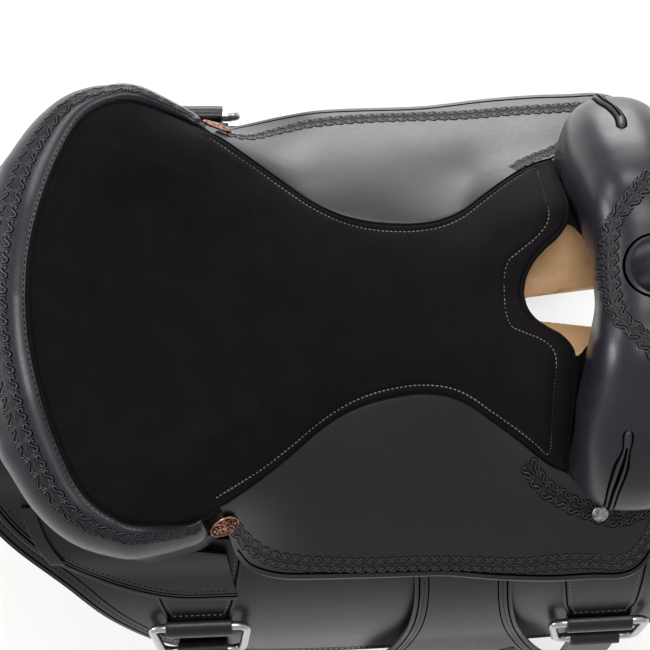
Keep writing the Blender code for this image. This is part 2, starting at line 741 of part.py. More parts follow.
def build_ground_seat():
    """Stiff ground seat under the pad, laid between fork and cantle."""
    along = np.linspace(0, 1, 15)
    plan = pad_grid(13, along, inset=3.0, front_x=GROUND_SEAT_FRONT)
    upper = -PAD_THICKNESS - PAD_BED_GAP
    top = seat_skin(plan[..., 0], plan[..., 1], upper + 0 * plan[..., 0])
    bottom = seat_skin(plan[..., 0], plan[..., 1], upper - GROUND_SEAT_THICKNESS + 0 * plan[..., 0])
    return shell("ground_seat", top, bottom, WOOD)


def build_seat_jockey(name, side):
    """Smooth leather skirt of the seat that covers the stirrup leather's top."""
    inner_points = [(x, y + 2 * FIT_GAP) for x, y in PAD_SIDE if JOCKEY_REAR_X < x < 155]
    start = np.interp(JOCKEY_REAR_X, np.array(PAD_SIDE)[:, 0], np.array(PAD_SIDE)[:, 1])
    inner_points = [(JOCKEY_REAR_X, start + 2 * FIT_GAP)] + inner_points + list(JOCKEY_INNER_FRONT)
    inner = curve(inner_points, 24)
    outer = curve(JOCKEY_OUTER, 24)
    share = np.linspace(0, 1, 5)[None, :, None]
    plan = inner[:, None] * (1 - share) + outer[:, None] * share
    top = flip(seat_skin(plan[..., 0], plan[..., 1], 0 * plan[..., 0]), side)
    bottom = flip(seat_skin(plan[..., 0], plan[..., 1], -SEAT_LEATHER + 0 * plan[..., 0]), side)
    return shell(name, top, bottom, BLACK_LEATHER)


def build_keyhole_lining(name, side):
    """Natural leather that lines one side of the hand hole."""
    profile = np.array(((19.5, 20), (19.5, 46), (22, 53), (28, 58), (38, 68), (48, 82), (56, 92)), float)
    line = resample(profile, np.linspace(0, 1, 8))
    ahead = np.gradient(line, axis=0)
    ahead /= np.linalg.norm(ahead, axis=1)[:, None]
    normal = np.stack((ahead[:, 1], -ahead[:, 0]), -1)
    grids = []
    for offset in (0.0, 3.0):
        rows = []
        for y, z in line + normal * offset:
            front = swell_rear(y, max(z, 46.0)) - 1.5
            x = np.linspace(124.0, min(front, 184.0), 5)
            roof = seat_height(x, np.full(5, y)) - PAD_THICKNESS - GROUND_SEAT_THICKNESS - 4 - (3.0 - offset)
            rows.append(np.stack((x, np.full(5, y), np.minimum(z, roof)), -1))
        grids.append(flip(np.array(rows), side))
    return shell(name, grids[0], grids[1], TAN_LEATHER)


def build_front_filler(name, side):
    """Felt that fills the step between the seat's front edge and the swell."""
    y = np.linspace(44.0, 112.0, 10)
    grids = []
    for lift in (-PAD_THICKNESS - PAD_BED_GAP - 1.0, -PAD_THICKNESS - PAD_BED_GAP - 4.5):
        rows = []
        for value in y:
            level = float(seat_height(158.0, value)) - PAD_THICKNESS
            x = np.linspace(150.0, swell_rear(value, level) - 3.0, 3)
            rows.append(seat_skin(x, np.full(3, value), np.full(3, lift)))
        grids.append(flip(np.array(rows), side))
    return shell(name, grids[0], grids[1], BLACK_SUEDE)


def rim_frames(count, span=1.0, end=((-108, 149.8),)):
    """Points, outward directions and shares along the pad's rear edge."""
    points = list(PAD_REAR) + [p for p in PAD_SIDE if -140 < p[0] < -110] + list(end)
    half = resample(curve(points, 160), np.linspace(0, span, (count + 1) // 2))
    rim = mirrored(half)
    ahead = np.gradient(rim, axis=0)
    ahead /= np.linalg.norm(ahead, axis=1)[:, None]
    outward = np.stack((-ahead[:, 1], ahead[:, 0]), -1)
    share = np.linspace(-span, span, len(rim))
    height = seat_height(rim[:, 0], rim[:, 1])
    return rim, outward, share, height


def roll_scale(share):
    """The roll keeps its full width round the back and narrows to its ends."""
    fade = np.clip((np.abs(share) - 0.55) / 0.45, 0, 1)
    return 1 - (1 - ROLL_END_SCALE) * fade * fade * (3 - 2 * fade)


def build_cantle_roll():
    """Leather roll that turns outwards over the cantle's rim."""
    rim, outward, share, height = rim_frames(29)
    line = curve(ROLL_PROFILE, 8)
    ahead = np.gradient(line, axis=0)
    ahead /= np.linalg.norm(ahead, axis=1)[:, None]
    inward = np.stack((ahead[:, 1], -ahead[:, 0]), -1)
    depth = np.full(8, ROLL_THICKNESS)
    depth[0], depth[-1] = 4.0, 5.0
    grids = []
    for profile in (line, line + inward * depth[:, None]):
        rows = []
        for point, way, part, level in zip(rim, outward, share, height):
            scale = roll_scale(part)
            plan = point + way * (profile[:, :1] * scale)
            rows.append(np.column_stack((plan, level + profile[:, 1])))
        grids.append(np.array(rows))
    return shell("cantle_roll", grids[0], grids[1], BLACK_LEATHER)


def build_cantle_board():
    """Wooden cantle that stands on the rear of the bars."""
    rim, outward, share, height = rim_frames(27, CANTLE_SPAN)
    loops = []
    for point, way, level in zip(rim, outward, height):
        foot = CANTLE_FOOT - level
        section = np.array(((11, -9.5), (15.5, -12), (14.7, -36), (8.7, foot), (-16, foot),
                            (-16, max(foot + 3, -44)), (4, -22)))
        plan = point + way * section[:, :1]
        loops.append(np.column_stack((plan, level + section[:, 1])))
    return loft("cantle_board", loops, WOOD)


def build_cantle_back():
    """Leather back of the cantle, from under the roll to the rear jockeys."""
    rim, outward, share, height = rim_frames(25, end=CANTLE_BACK_END)
    grids = []
    for thickness in (CANTLE_BACK_THICKNESS, 0.0):
        rows = []
        for point, way, level, part in zip(rim, outward, height, share):
            scale = roll_scale(part)
            base = point + way * 11.0
            foot = jockey_level(base[0], abs(base[1])) + 2.0
            top = level - np.interp(abs(part), (0.0, 0.9, 1.0), (25.0, 25.0, 33.0))
            heights = np.linspace(top, foot, 4)
            out = np.interp(heights, (foot, top), (11.0, 17.0)) * min(1.0, scale + 0.1) + thickness
            plan = point + way * out[:, None]
            rows.append(np.column_stack((plan, heights)))
        grids.append(np.array(rows))
    return shell("cantle_back", grids[0], grids[1], BLACK_LEATHER)


def jockey_lift(out):
    """How high above the back the rear jockey's underside lies."""
    share = np.clip((184.0 - np.asarray(out, float)) / 34.0, 0.0, 1.0)
    share = share * share * (3 - 2 * share)
    outside = tree_bottom() + PLATE_THICKNESS + FIT_GAP
    return outside + (tree_bottom() + bar_rise(out) + 1.0 - outside) * share


def jockey_level(x, y):
    """Height of the rear jockey's top at X and a distance Y from the middle."""
    out = np.linspace(SKIRT_INNER, 300, 200)
    points = skin(np.full(200, x), out, jockey_lift(out) + SEAT_LEATHER)
    return float(np.interp(y, points[:, 1], points[:, 2]))


def build_rear_jockey(name, side):
    """Leather behind the cantle that lies over bar and skirt."""
    inner = curve(REAR_JOCKEY_INNER, 14)
    outer = curve(REAR_JOCKEY_OUTER, 14)
    share = np.linspace(0, 1, 5)[None, :, None]
    plan = inner[:, None] * (1 - share) + outer[:, None] * share
    lift = jockey_lift(plan[..., 1])
    bottom = flip(skin(plan[..., 0], plan[..., 1], lift), side)
    top = flip(skin(plan[..., 0], plan[..., 1], lift + SEAT_LEATHER - 1.0), side)
    return shell(name, top, bottom, BLACK_LEATHER)


def skirt_grid(rows=20, columns=6):
    """Plan grid (X, distance out) over a skirt."""
    outline = curve(SKIRT_OUTLINE, rows)
    top_edge = np.column_stack((np.linspace(outline[0, 0], outline[-1, 0], rows), np.full(rows, SKIRT_INNER)))
    share = np.linspace(0, 1, columns)[None, :, None]
    return top_edge[:, None] * (1 - share) + outline[:, None] * share


def build_skirt(name, side):
    """Round leather skirt under the tree."""
    plan = skirt_grid()
    bottom = flip(skin(plan[..., 0], plan[..., 1], skirt_bottom() + 0 * plan[..., 0]), side)
    top = flip(skin(plan[..., 0], plan[..., 1], skirt_top() + 0 * plan[..., 0]), side)
    return shell(name, top, bottom, BLACK_LEATHER)


def build_fleece(name, side):
    """Woolly lining under the skirt, thinner at its edge."""
    plan = skirt_grid()
    rows, columns = plan.shape[:2]
    row = np.minimum(np.arange(rows), np.arange(rows)[::-1])[:, None]
    column = np.minimum(np.arange(columns), np.arange(columns)[::-1])[None, :]
    thin = np.where((row == 0) | (column == 0), 0.35, 0.0)
    bottom = flip(skin(plan[..., 0], plan[..., 1], fleece_top() * thin), side)
    top = flip(skin(plan[..., 0], plan[..., 1], fleece_top() + 0 * plan[..., 0]), side)
    return shell(name, top, bottom, FLEECE)


def loop_path(start, centre, radius, level, way):
    """Strap path that lies flat and then folds round a bar.

    way is 1 where the strap comes from above the bar and -1 from below it.
    """
    flat = np.column_stack((np.linspace(start, centre, 7)[:-1], np.full(6, level - radius)))
    turns = np.radians(np.linspace(-90, 185, 13))
    round_bar = np.column_stack((centre + way * radius * np.cos(turns), level + radius * np.sin(turns)))
    return np.vstack((flat, round_bar))


def build_rig_plate(name, side, centre_x, out, top_half):
    """Rigging plate whose lower end folds round its ring."""
    radius = DEE_WIRE + LOOP_CLEARANCE + PLATE_THICKNESS / 2
    path = loop_path(PLATE_START, out, radius, dee_level(), 1)
    low_half = DEE_WIDTH / 2 - DEE_CORNER - 2.0
    half = np.interp(path[:, 0], (PLATE_START, out - 24, out - 10), (top_half, low_half + 4, low_half))
    return ribbon(name, path, PLATE_THICKNESS, half, centre_x, skin, side, BLACK_LEATHER)


def build_dee(name, side, centre_x, out, parent):
    """Steel rigging ring with a straight top bar and a straight foot."""
    top, foot = DEE_WIDTH / 2, DEE_WIDTH / 2 - DEE_TAPER
    corners = ((-top, 0.0), (top, 0.0), (foot, DEE_DEPTH), (-foot, DEE_DEPTH))
    path = []
    for index in range(4):
        corner = np.array(corners[index])
        before = np.array(corners[index - 1]) - corner
        after = np.array(corners[(index + 1) % 4]) - corner
        start = corner + before / np.linalg.norm(before) * DEE_CORNER
        end = corner + after / np.linalg.norm(after) * DEE_CORNER
        for part in np.linspace(0, 1, 4):
            path.append((1 - part) ** 2 * start + 2 * part * (1 - part) * corner + part ** 2 * end)
    points = [dee_point(centre_x, out, x, down) for x, down in path]
    return tube_ring(name, flip(np.array(points), side), DEE_WIRE, STEEL, parent)


def dee_point(centre_x, out, x, down):
    """Point in a rigging ring's plane, x along its bar and down from it."""
    left = skin(centre_x - DEE_WIDTH / 2, out, dee_level())
    right = skin(centre_x + DEE_WIDTH / 2, out, dee_level())
    angle = float(back_angle(centre_x, out + DEE_DEPTH / 2))
    start = left + (right - left) * (x / DEE_WIDTH + 0.5)
    return start + down * np.array((0.0, math.cos(angle), -math.sin(angle)))


def build_hanging_strap(name, side, centre_x, out, length, parent):
    """Strap folded round a ring's foot that hangs down over the skirt."""
    radius = DEE_WIRE + LOOP_CLEARANCE + BILLET_THICKNESS / 2
    foot, level = skin_coordinates(centre_x, dee_point(centre_x, out, 0.0, DEE_DEPTH))
    path = loop_path(foot + length, foot, radius, level, -1)
    half = np.full(len(path), BILLET_WIDTH / 2)
    half[0] = BILLET_WIDTH * 0.22
    half[1] = BILLET_WIDTH * 0.46

    def surface(x, along, lift):
        return hanging(x, along, lift, centre_x, foot + 2 * radius)

    return ribbon(name, path, BILLET_THICKNESS, half, centre_x, surface, side, BLACK_LEATHER, parent)


def strap_line():
    """Path of the stirrup leather from the bar's edge to its loop round the roller."""
    bolt = bolt_along()
    down = np.linspace(HINGE_OUT + 1.6, bolt, 20)
    path = np.column_stack((down, np.full(20, strap_mid())))
    radius = loop_radius()
    turns = np.radians(np.linspace(-90, 90, 9))[1:]
    fold = np.column_stack((bolt + radius * np.cos(turns), strap_mid() + radius + radius * np.sin(turns)))
    back = np.column_stack((np.linspace(bolt, bolt - RETURN_LENGTH, 3)[1:],
                            np.full(2, strap_mid() + 2 * radius)))
    return np.vstack((path, fold, back))


def loop_radius():
    return ROLLER_RADIUS + STRAP_CLEARANCE + STRAP_THICKNESS / 2


def bolt_along():
    """Distance along the hanging strap at which the stirrup bolt lies."""
    return DRAPE_END + float(skin(STRAP_X, DRAPE_END, strap_mid())[2]) - BOLT_HEIGHT


def bolt_y():
    return float(strap_surface(STRAP_X, bolt_along(), strap_mid())[1]) + loop_radius()


def strap_surface(x, along, lift):
    """Surface that the stirrup leather and the fender hang on."""
    return hanging(x, along, lift, STRAP_X, DRAPE_END - HANG_BLEND)


def build_strap_top(name, side):
    """Part of the stirrup leather that lies over the bar's edge."""
    top = tree_bottom() + BAR_EDGE_THICKNESS + FIT_GAP + STRAP_THICKNESS / 2
    slot_middle = SLOT_INNER + SLOT_WIDTH / 2
    bend = STRAP_THICKNESS / 2 + 2.5
    edge = BAR_OUTER + FIT_GAP + STRAP_THICKNESS / 2 + 0.4
    turns = np.radians(np.linspace(180, 90, 5))
    first = [(slot_middle + bend + bend * math.cos(t), top - bend + bend * math.sin(t)) for t in turns]
    second = [(edge - bend + bend * math.sin(t), top - bend + bend * math.cos(t))
              for t in np.radians(np.linspace(0, 90, 5))]
    path = [(slot_middle, tree_bottom() + 2.0)] + first + second + [(edge, top - bend - 0.2)]
    path = np.array(path)
    half = np.full(len(path), STRAP_WIDTH / 2)
    return ribbon(name, path, STRAP_THICKNESS, half, STRAP_X, skin, side, BLACK_LEATHER)


def build_stirrup_leather(name, side, parent):
    """Long strap that carries the stirrup, doubled at its foot."""
    path = strap_line()
    half = np.full(len(path), STRAP_WIDTH / 2)
    return ribbon(name, path, STRAP_THICKNESS, half, STRAP_X, strap_surface, side, BLACK_LEATHER, parent)


def fender_half_widths(share):
    """Half width of the fender against its share of length."""
    knots = np.array((0, 0.1, 0.24, 0.4, 0.56, 0.7, 0.84, 0.94, 1.0))
    neck, wide = FENDER_NECK / 2, FENDER_WIDTH / 2
    low = np.array((neck, neck, neck * 1.25))
    middle = np.array((wide * 0.86, wide, wide * 0.97, wide * 0.72))
    values = np.concatenate((low, middle, (neck * 1.1, neck * 0.9)))
    return smooth_interp(share, knots, values)


def build_fender(name, side, parent):
    """Broad leather fender in front of the stirrup leather."""
    along = np.linspace(FENDER_START, FENDER_START + FENDER_LENGTH, 22)
    path = np.column_stack((along, np.full(22, fender_mid())))
    half = fender_half_widths(np.linspace(0, 1, 22))
    return ribbon(name, path, FENDER_THICKNESS, half, STRAP_X, strap_surface, side, BLACK_LEATHER, parent, 5)


def rect_ring(name, side, height_mid, height, wall, finish, parent):
    """Flat ring round both layers of the doubled stirrup leather."""
    half_x = STRAP_WIDTH / 2 + STRAP_CLEARANCE
    half_y = loop_radius() + STRAP_THICKNESS / 2 + STRAP_CLEARANCE
    corner = 4.0

    def outline(extra):
        points = []
        for sign_x, sign_y, start in ((1, 1, 0), (-1, 1, 90), (-1, -1, 180), (1, -1, 270)):
            for turn in np.radians(np.linspace(start, start + 90, 5)):
                radius = corner * 0.25 + extra
                points.append((STRAP_X + sign_x * (half_x - corner * 0.25) + radius * math.cos(turn),
                               bolt_y() + sign_y * (half_y - corner * 0.25) + radius * math.sin(turn)))
        return np.array(points)

    inner, outer = outline(0.0), outline(wall)
    count = len(inner)
    vertices = []
    for ring, z in ((inner, -height / 2), (outer, -height / 2), (outer, height / 2), (inner, height / 2)):
        vertices += [(x, y * side, z + height_mid) for x, y in ring]
    faces = []
    for level in range(4):
        low, high = level * count, ((level + 1) % 4) * count
        for index in range(count):
            step = (index + 1) % count
            faces.append((low + index, low + step, high + step, high + index))
    return make_object(name, vertices, faces, finish, parent)


def stirrup_path(count=23):
    """Half inside widths and heights round the stirrup, top to top."""
    top, wide = STIRRUP_TOP_INSIDE / 2, STIRRUP_INSIDE / 2
    height = STIRRUP_HEIGHT
    points = [(top, 10), (top, -3), (top, -12), (top + 4, -24), (top + 15, -46), (wide - 2, -86),
              (wide + 1, -118), (wide - 4, -height + 12), (wide - 14, -height + 1), (wide - 26, -height),
              (0, -height)]
    half = curve(points, (count + 1) // 2)
    other = half[::-1][1:] * (-1, 1)
    return np.vstack((half, other))


def build_stirrup(side_name, side, parent):
    """Bell-shaped stirrup with its tread pad and its bolt with roller."""
    centre = np.array((STRAP_X, bolt_y() * side, BOLT_HEIGHT))
    path = stirrup_path()
    ahead = np.gradient(path, axis=0)
    ahead /= np.linalg.norm(ahead, axis=1)[:, None]
    outward = np.stack((-ahead[:, 1], ahead[:, 0]), -1) * -1.0
    if outward[0][0] < 0:
        outward = -outward
    top, tread = STIRRUP_DEPTH_TOP, STIRRUP_DEPTH_TREAD
    depth = np.interp(-path[:, 1], (0, 40, STIRRUP_HEIGHT - 20, STIRRUP_HEIGHT), (top, top + 6, tread - 6, tread))
    loops = []
    for point, way, deep in zip(path, outward, depth):
        loop = []
        for out, across in ((0, -0.5), (0, 0.5), (0.45, 0.52), (1, 0.42), (1, -0.42), (0.45, -0.52)):
            place = point + way * out * STIRRUP_WALL
            loop.append(centre + np.array((place[0], across * deep, place[1])))
        loops.append(loop)
    frame = loft("stirrup_" + side_name, loops, BLACK_LEATHER, parent)
    drill(frame, centre)
    build_tread(side_name, centre, parent)
    build_bolt(side_name, centre, parent)


def drill(frame, centre):
    """Hole through both ears of the stirrup for its bolt."""
    reach = STIRRUP_TOP_INSIDE / 2 + 3 * STIRRUP_WALL
    radius = BOLT_RADIUS + FIT_GAP
    cutter = lathe(frame.name + "_bolt_cutter", ((-reach, radius), (reach, radius)), centre, (1, 0, 0), STEEL)
    cutter.hide_render = True
    cutter.display_type = "WIRE"
    cutter.parent = frame.parent
    cutter.matrix_parent_inverse = frame.parent.matrix_world.inverted()
    modifier = frame.modifiers.new("bolt_hole", "BOOLEAN")
    modifier.operation = "DIFFERENCE"
    modifier.solver = "EXACT"
    modifier.object = cutter


def build_tread(side_name, centre, parent):
    """Ribbed rubber pad on the stirrup's tread."""
    ribs = 7
    top = []
    bottom = []
    depth = STIRRUP_DEPTH_TREAD - 10.0
    base = centre[2] - STIRRUP_HEIGHT + 2 * FIT_GAP
    x = np.linspace(-0.5, 0.5, 4 * ribs + 1) * TREAD_LENGTH
    rise = np.where(np.arange(len(x)) % 4 < 2, TREAD_THICKNESS, TREAD_THICKNESS - 1.6)
    rise[0] = rise[-1] = TREAD_THICKNESS - 1.6
    for across in (-0.5, 0.5):
        top.append([(centre[0] + a, centre[1] + across * depth, base + r) for a, r in zip(x, rise)])
        bottom.append([(centre[0] + a, centre[1] + across * depth, base) for a in x])
    shell("tread_" + side_name, np.array(top), np.array(bottom), RUBBER, parent)


def build_bolt(side_name, centre, parent):
    """Stirrup bolt with heads outside the ears and the roller between them."""
    inside = STIRRUP_TOP_INSIDE / 2 - FIT_GAP
    outside = STIRRUP_TOP_INSIDE / 2 + STIRRUP_WALL + 1.6
    head = outside + BOLT_HEAD_LENGTH
    profile = [(-head, BOLT_HEAD_RADIUS - 1.5), (-head + 1.5, BOLT_HEAD_RADIUS), (-outside, BOLT_HEAD_RADIUS),
               (-outside, BOLT_RADIUS), (-inside, BOLT_RADIUS), (-inside, ROLLER_RADIUS)]
    profile = profile + [(-along, radius) for along, radius in profile[::-1]]
    lathe("stirrup_bolt_" + side_name, profile, centre, (1, 0, 0), STEEL, parent, 12)


def build_concho(name, side, spot_at, radius, height, finish, sides):
    """Domed button on the seat jockey, with a raised rim."""
    x, y = spot_at
    spot = seat_skin(np.array(x), np.array(y), np.array(FIT_GAP + 0.3))
    axis = flip(seat_normal(x, y), side)
    profile = [(0, radius * 0.9), (0.25 * height, radius), (0.55 * height, radius * 0.97),
               (0.7 * height, radius * 0.86), (0.55 * height, radius * 0.76), (0.75 * height, radius * 0.55),
               (height, radius * 0.28)]
    return lathe(name, profile, flip(spot, side), axis, finish, sides=sides)


def build_latigo_keeper():
    """Slotted leather holder for the latigo's end, on the near front rigging plate."""
    out = np.linspace(*KEEPER_OUT, 6)
    half = np.linspace(*KEEPER_HALF_WIDTHS, 6)
    x = KEEPER_X + half[:, None] * np.linspace(-1, 1, 3)[None]
    low = tree_bottom() + PLATE_THICKNESS + LAYER_GAP
    grids = [skin(x, out[:, None], lift + 0 * x) for lift in (low + KEEPER_LEATHER, low)]
    keeper = shell("latigo_keeper", grids[0], grids[1], BLACK_LEATHER)
    slot_out = np.array((KEEPER_SLOT_OUT, KEEPER_SLOT_OUT + KEEPER_SLOT_WIDTH))[None]
    slot_x = np.array((KEEPER_X - KEEPER_SLOT_LENGTH / 2, KEEPER_X + KEEPER_SLOT_LENGTH / 2))[:, None]
    slot_x, slot_out = np.broadcast_arrays(slot_x, slot_out)
    high, deep = (skin(slot_x, slot_out, low + lift) for lift in (3 * KEEPER_LEATHER, -2 * KEEPER_LEATHER))
    cut(keeper, "keeper_slot", high, deep)
    return keeper


def cut(piece, name, high, low):
    """Take the block between two grids of points out of a piece."""
    cutter = shell(name + "_cutter", high, low, WOOD)
    cutter.hide_render = True
    cutter.display_type = "WIRE"
    modifier = piece.modifiers.new(name, "BOOLEAN")
    modifier.operation = "DIFFERENCE"
    modifier.solver = "EXACT"
    modifier.object = cutter


def build_saddle_string(name, side):
    """Thin leather string that lies across the rear jockey, below the cantle's corner."""
    path = curve(STRING_PATH, 12)
    half, thick = STRING_WIDTH / 2, STRING_THICKNESS
    grids = []
    for lift in (STRING_GAP + thick, STRING_GAP):
        rows = []
        for x, y in path:
            z = jockey_level(x, y) + lift
            rows.append([(x - half, y, z), (x + half, y, z)])
        grids.append(flip(np.array(rows), side))
    return shell(name, grids[0], grids[1], BLACK_LEATHER)


def build_moving_side(side_name, side):
    """Fender, stirrup and rigging rings of one side, each on its joint's pivot."""
    hinge = flip(skin(STRAP_X, HINGE_OUT, strap_mid()), side)
    fender_pivot = pivot("fender_pivot_" + side_name, hinge)
    build_stirrup_leather("stirrup_leather_" + side_name, side, fender_pivot)
    build_fender("fender_" + side_name, side, fender_pivot)
    keeper_middle = BOLT_HEIGHT + KEEPER_DROP + KEEPER_HEIGHT / 2 - 10
    rect_ring("hobble_strap_" + side_name, side, keeper_middle, KEEPER_HEIGHT, KEEPER_WALL, BLACK_LEATHER,
              fender_pivot)
    sleeve_middle = BOLT_HEIGHT + SLEEVE_DROP
    sleeve_pivot = pivot("sleeve_pivot_" + side_name, (STRAP_X, bolt_y() * side, sleeve_middle))
    rect_ring("buckle_sleeve_" + side_name, side, sleeve_middle, SLEEVE_HEIGHT, SLEEVE_WALL, STEEL,
              sleeve_pivot)
    stirrup_pivot = pivot("stirrup_pivot_" + side_name, (STRAP_X, bolt_y() * side, BOLT_HEIGHT))
    build_stirrup(side_name, side, stirrup_pivot)
    for place, x, out in (("front", FRONT_RIG_X, FRONT_RIG_OUT), ("rear", REAR_RIG_X, REAR_RIG_OUT)):
        label = place + "_" + side_name
        ring_pivot = pivot("dee_pivot_" + label, flip(dee_point(x, out, 0.0, 0.0), side))
        build_dee("dee_" + label, side, x, out, ring_pivot)
        strap_pivot = pivot("strap_pivot_" + label, flip(dee_point(x, out, 0.0, DEE_DEPTH), side))
        strap, length = strap_choice(place, side_name)
        build_hanging_strap(strap, side, x, out, length, strap_pivot)


def strap_choice(place, side_name):
    """Name and hanging length of the strap on a rigging ring."""
    if place == "rear":
        return "flank_billet_" + side_name, 150.0
    if side_name == "near":
        return "latigo", 190.0
    return "off_billet", 170.0


def build_fixed_side(side_name, side):
    """Tree bar, skirts, jockeys and trim of one side."""
    build_bar("bar_" + side_name, side)
    build_fleece("fleece_" + side_name, side)
    build_skirt("skirt_" + side_name, side)
    build_seat_jockey("seat_jockey_" + side_name, side)
    build_rear_jockey("rear_jockey_" + side_name, side)
    build_keyhole_lining("keyhole_lining_" + side_name, side)
    build_front_filler("front_filler_" + side_name, side)
    build_strap_top("strap_top_" + side_name, side)
    build_rig_plate("rig_plate_front_" + side_name, side, FRONT_RIG_X, FRONT_RIG_OUT, 38.0)
    build_rig_plate("rig_plate_rear_" + side_name, side, REAR_RIG_X, REAR_RIG_OUT, 42.0)
    build_concho("concho_rear_" + side_name, side, REAR_CONCHO_AT, CONCHO_RADIUS, CONCHO_HEIGHT, COPPER, 14)
    build_concho("concho_front_" + side_name, side, FRONT_CONCHO_AT, SMALL_CONCHO_RADIUS, SMALL_CONCHO_HEIGHT,
                 STEEL, 8)
    build_saddle_string("saddle_string_" + side_name, side)


def clear_scene():
    for piece in list(bpy.data.objects):
        bpy.data.objects.remove(piece, do_unlink=True)


def main():
    clear_scene()
    build_fork()
    build_swell_cover()
    build_gullet_lining()
    build_horn()
    build_ground_seat()
    build_seat_pad()
    build_cantle_board()
    build_cantle_back()
    build_cantle_roll()
    build_latigo_keeper()
    for side_name, side in SIDES:
        build_fixed_side(side_name, side)
        build_moving_side(side_name, side)


main()
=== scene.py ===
"""Trail saddle: the visual model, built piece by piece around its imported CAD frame."""

from __future__ import annotations

import sys

import json
import logging
import math
from dataclasses import dataclass
from enum import Enum
from typing import Callable, Optional, Sequence, Union

import bpy
import numpy as np
from mathutils import Matrix, Vector
from mathutils.kdtree import KDTree

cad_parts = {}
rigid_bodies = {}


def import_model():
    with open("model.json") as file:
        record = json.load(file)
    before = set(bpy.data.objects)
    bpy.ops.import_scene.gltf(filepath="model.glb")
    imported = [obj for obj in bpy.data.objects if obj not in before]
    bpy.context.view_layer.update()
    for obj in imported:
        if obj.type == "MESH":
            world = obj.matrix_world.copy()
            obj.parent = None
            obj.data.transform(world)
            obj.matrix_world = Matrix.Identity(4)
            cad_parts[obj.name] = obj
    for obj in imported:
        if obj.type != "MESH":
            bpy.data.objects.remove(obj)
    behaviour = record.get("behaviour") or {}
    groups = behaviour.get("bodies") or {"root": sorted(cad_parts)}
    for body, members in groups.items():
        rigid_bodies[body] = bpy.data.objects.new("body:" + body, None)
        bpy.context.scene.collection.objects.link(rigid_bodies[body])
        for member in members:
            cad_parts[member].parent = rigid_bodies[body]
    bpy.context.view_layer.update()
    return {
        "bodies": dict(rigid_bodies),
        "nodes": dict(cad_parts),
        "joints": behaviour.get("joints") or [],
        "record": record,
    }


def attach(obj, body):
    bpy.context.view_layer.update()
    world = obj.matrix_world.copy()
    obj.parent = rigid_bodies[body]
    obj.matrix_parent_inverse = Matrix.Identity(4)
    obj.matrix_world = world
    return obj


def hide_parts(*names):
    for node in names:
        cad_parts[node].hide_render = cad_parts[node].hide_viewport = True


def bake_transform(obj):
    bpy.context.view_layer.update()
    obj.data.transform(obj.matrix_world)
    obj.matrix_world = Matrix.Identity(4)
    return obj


MM = 0.001
Array = np.ndarray
Piece = bpy.types.Object
Tree = bpy.types.NodeTree
Link = bpy.types.NodeSocket
Socket = Union[float, Sequence[float], Link]
Inputs = dict[Union[str, int], Socket]
Surface = Callable[[Array, Array, Array], Array]
Grids = tuple[Array, Array]
FRAME: dict = {}
MATERIALS: dict = {}
LOG = logging.getLogger("trail_saddle")


class Side(Enum):
    """Side of the horse, with the sign of its Y."""

    NEAR = 1.0
    OFF = -1.0

    @property
    def tag(self) -> str:
        """The side's word in names of pieces, nodes and bodies."""
        return self.name.lower()


def srgb(code: str) -> tuple[float, float, float, float]:
    """Linear colour of an sRGB hex code.

    Args:
        code: Six hex digits after a hash.

    Returns:
        Red, green, blue and alpha for a shader socket.
    """
    parts = [int(code[i:i + 2], 16) / 255 for i in (1, 3, 5)]
    linear = [p / 12.92 if p <= 0.04045 else ((p + 0.055) / 1.055) ** 2.4 for p in parts]
    return (linear[0], linear[1], linear[2], 1.0)


def wire(tree: Tree, made: bpy.types.Node, inputs: Inputs) -> None:
    """Sets or links the inputs of a node.

    Args:
        tree: Node tree that holds the node.
        made: The node.
        inputs: Value or linked output socket for each named or numbered input.
    """
    for name, value in inputs.items():
        if isinstance(value, Link):
            tree.links.new(value, made.inputs[name])
        else:
            made.inputs[name].default_value = value


def node(tree: Tree, kind: str, out: Union[str, int], inputs: Optional[Inputs] = None, **settings) -> Link:
    """Adds one node with its settings and links.

    Args:
        tree: Node tree that gets the node.
        kind: Node type without its ShaderNode prefix.
        out: Name or number of the output that is used.
        inputs: Value or linked output socket for each input.
        settings: Attributes of the node itself.

    Returns:
        The new node's output socket.
    """
    made = tree.nodes.new("ShaderNode" + kind)
    for name, value in settings.items():
        setattr(made, name, value)
    wire(tree, made, inputs or {})
    return made.outputs[out]


@dataclass(frozen=True)
class Finish:
    """One real material, with its colour and the deeper colour of its low places."""

    name: str
    colour: str
    deep: str

    def build(self) -> bpy.types.Material:
        """New material whose shader gets the look of the finish."""
        material = bpy.data.materials.new(self.name)
        material.use_nodes = True
        tree = material.node_tree
        wire(tree, tree.nodes["Principled BSDF"], self.look(tree, node(tree, "TexCoord", "Object")))
        return material

    def look(self, tree: Tree, place: Link) -> Inputs:
        """Inputs of the shader, which each kind of finish gives."""
        raise NotImplementedError

    def toned(self, tree: Tree, pattern: Link, low: float, high: float) -> Link:
        """Colour that runs from deep to full as a pattern runs from low to high."""
        share = node(tree, "MapRange", "Result", {"Value": pattern, "From Min": low, "From Max": high})
        return node(tree, "Mix", 2, {"Factor": share, 6: srgb(self.deep), 7: srgb(self.colour)},
                    data_type="RGBA")


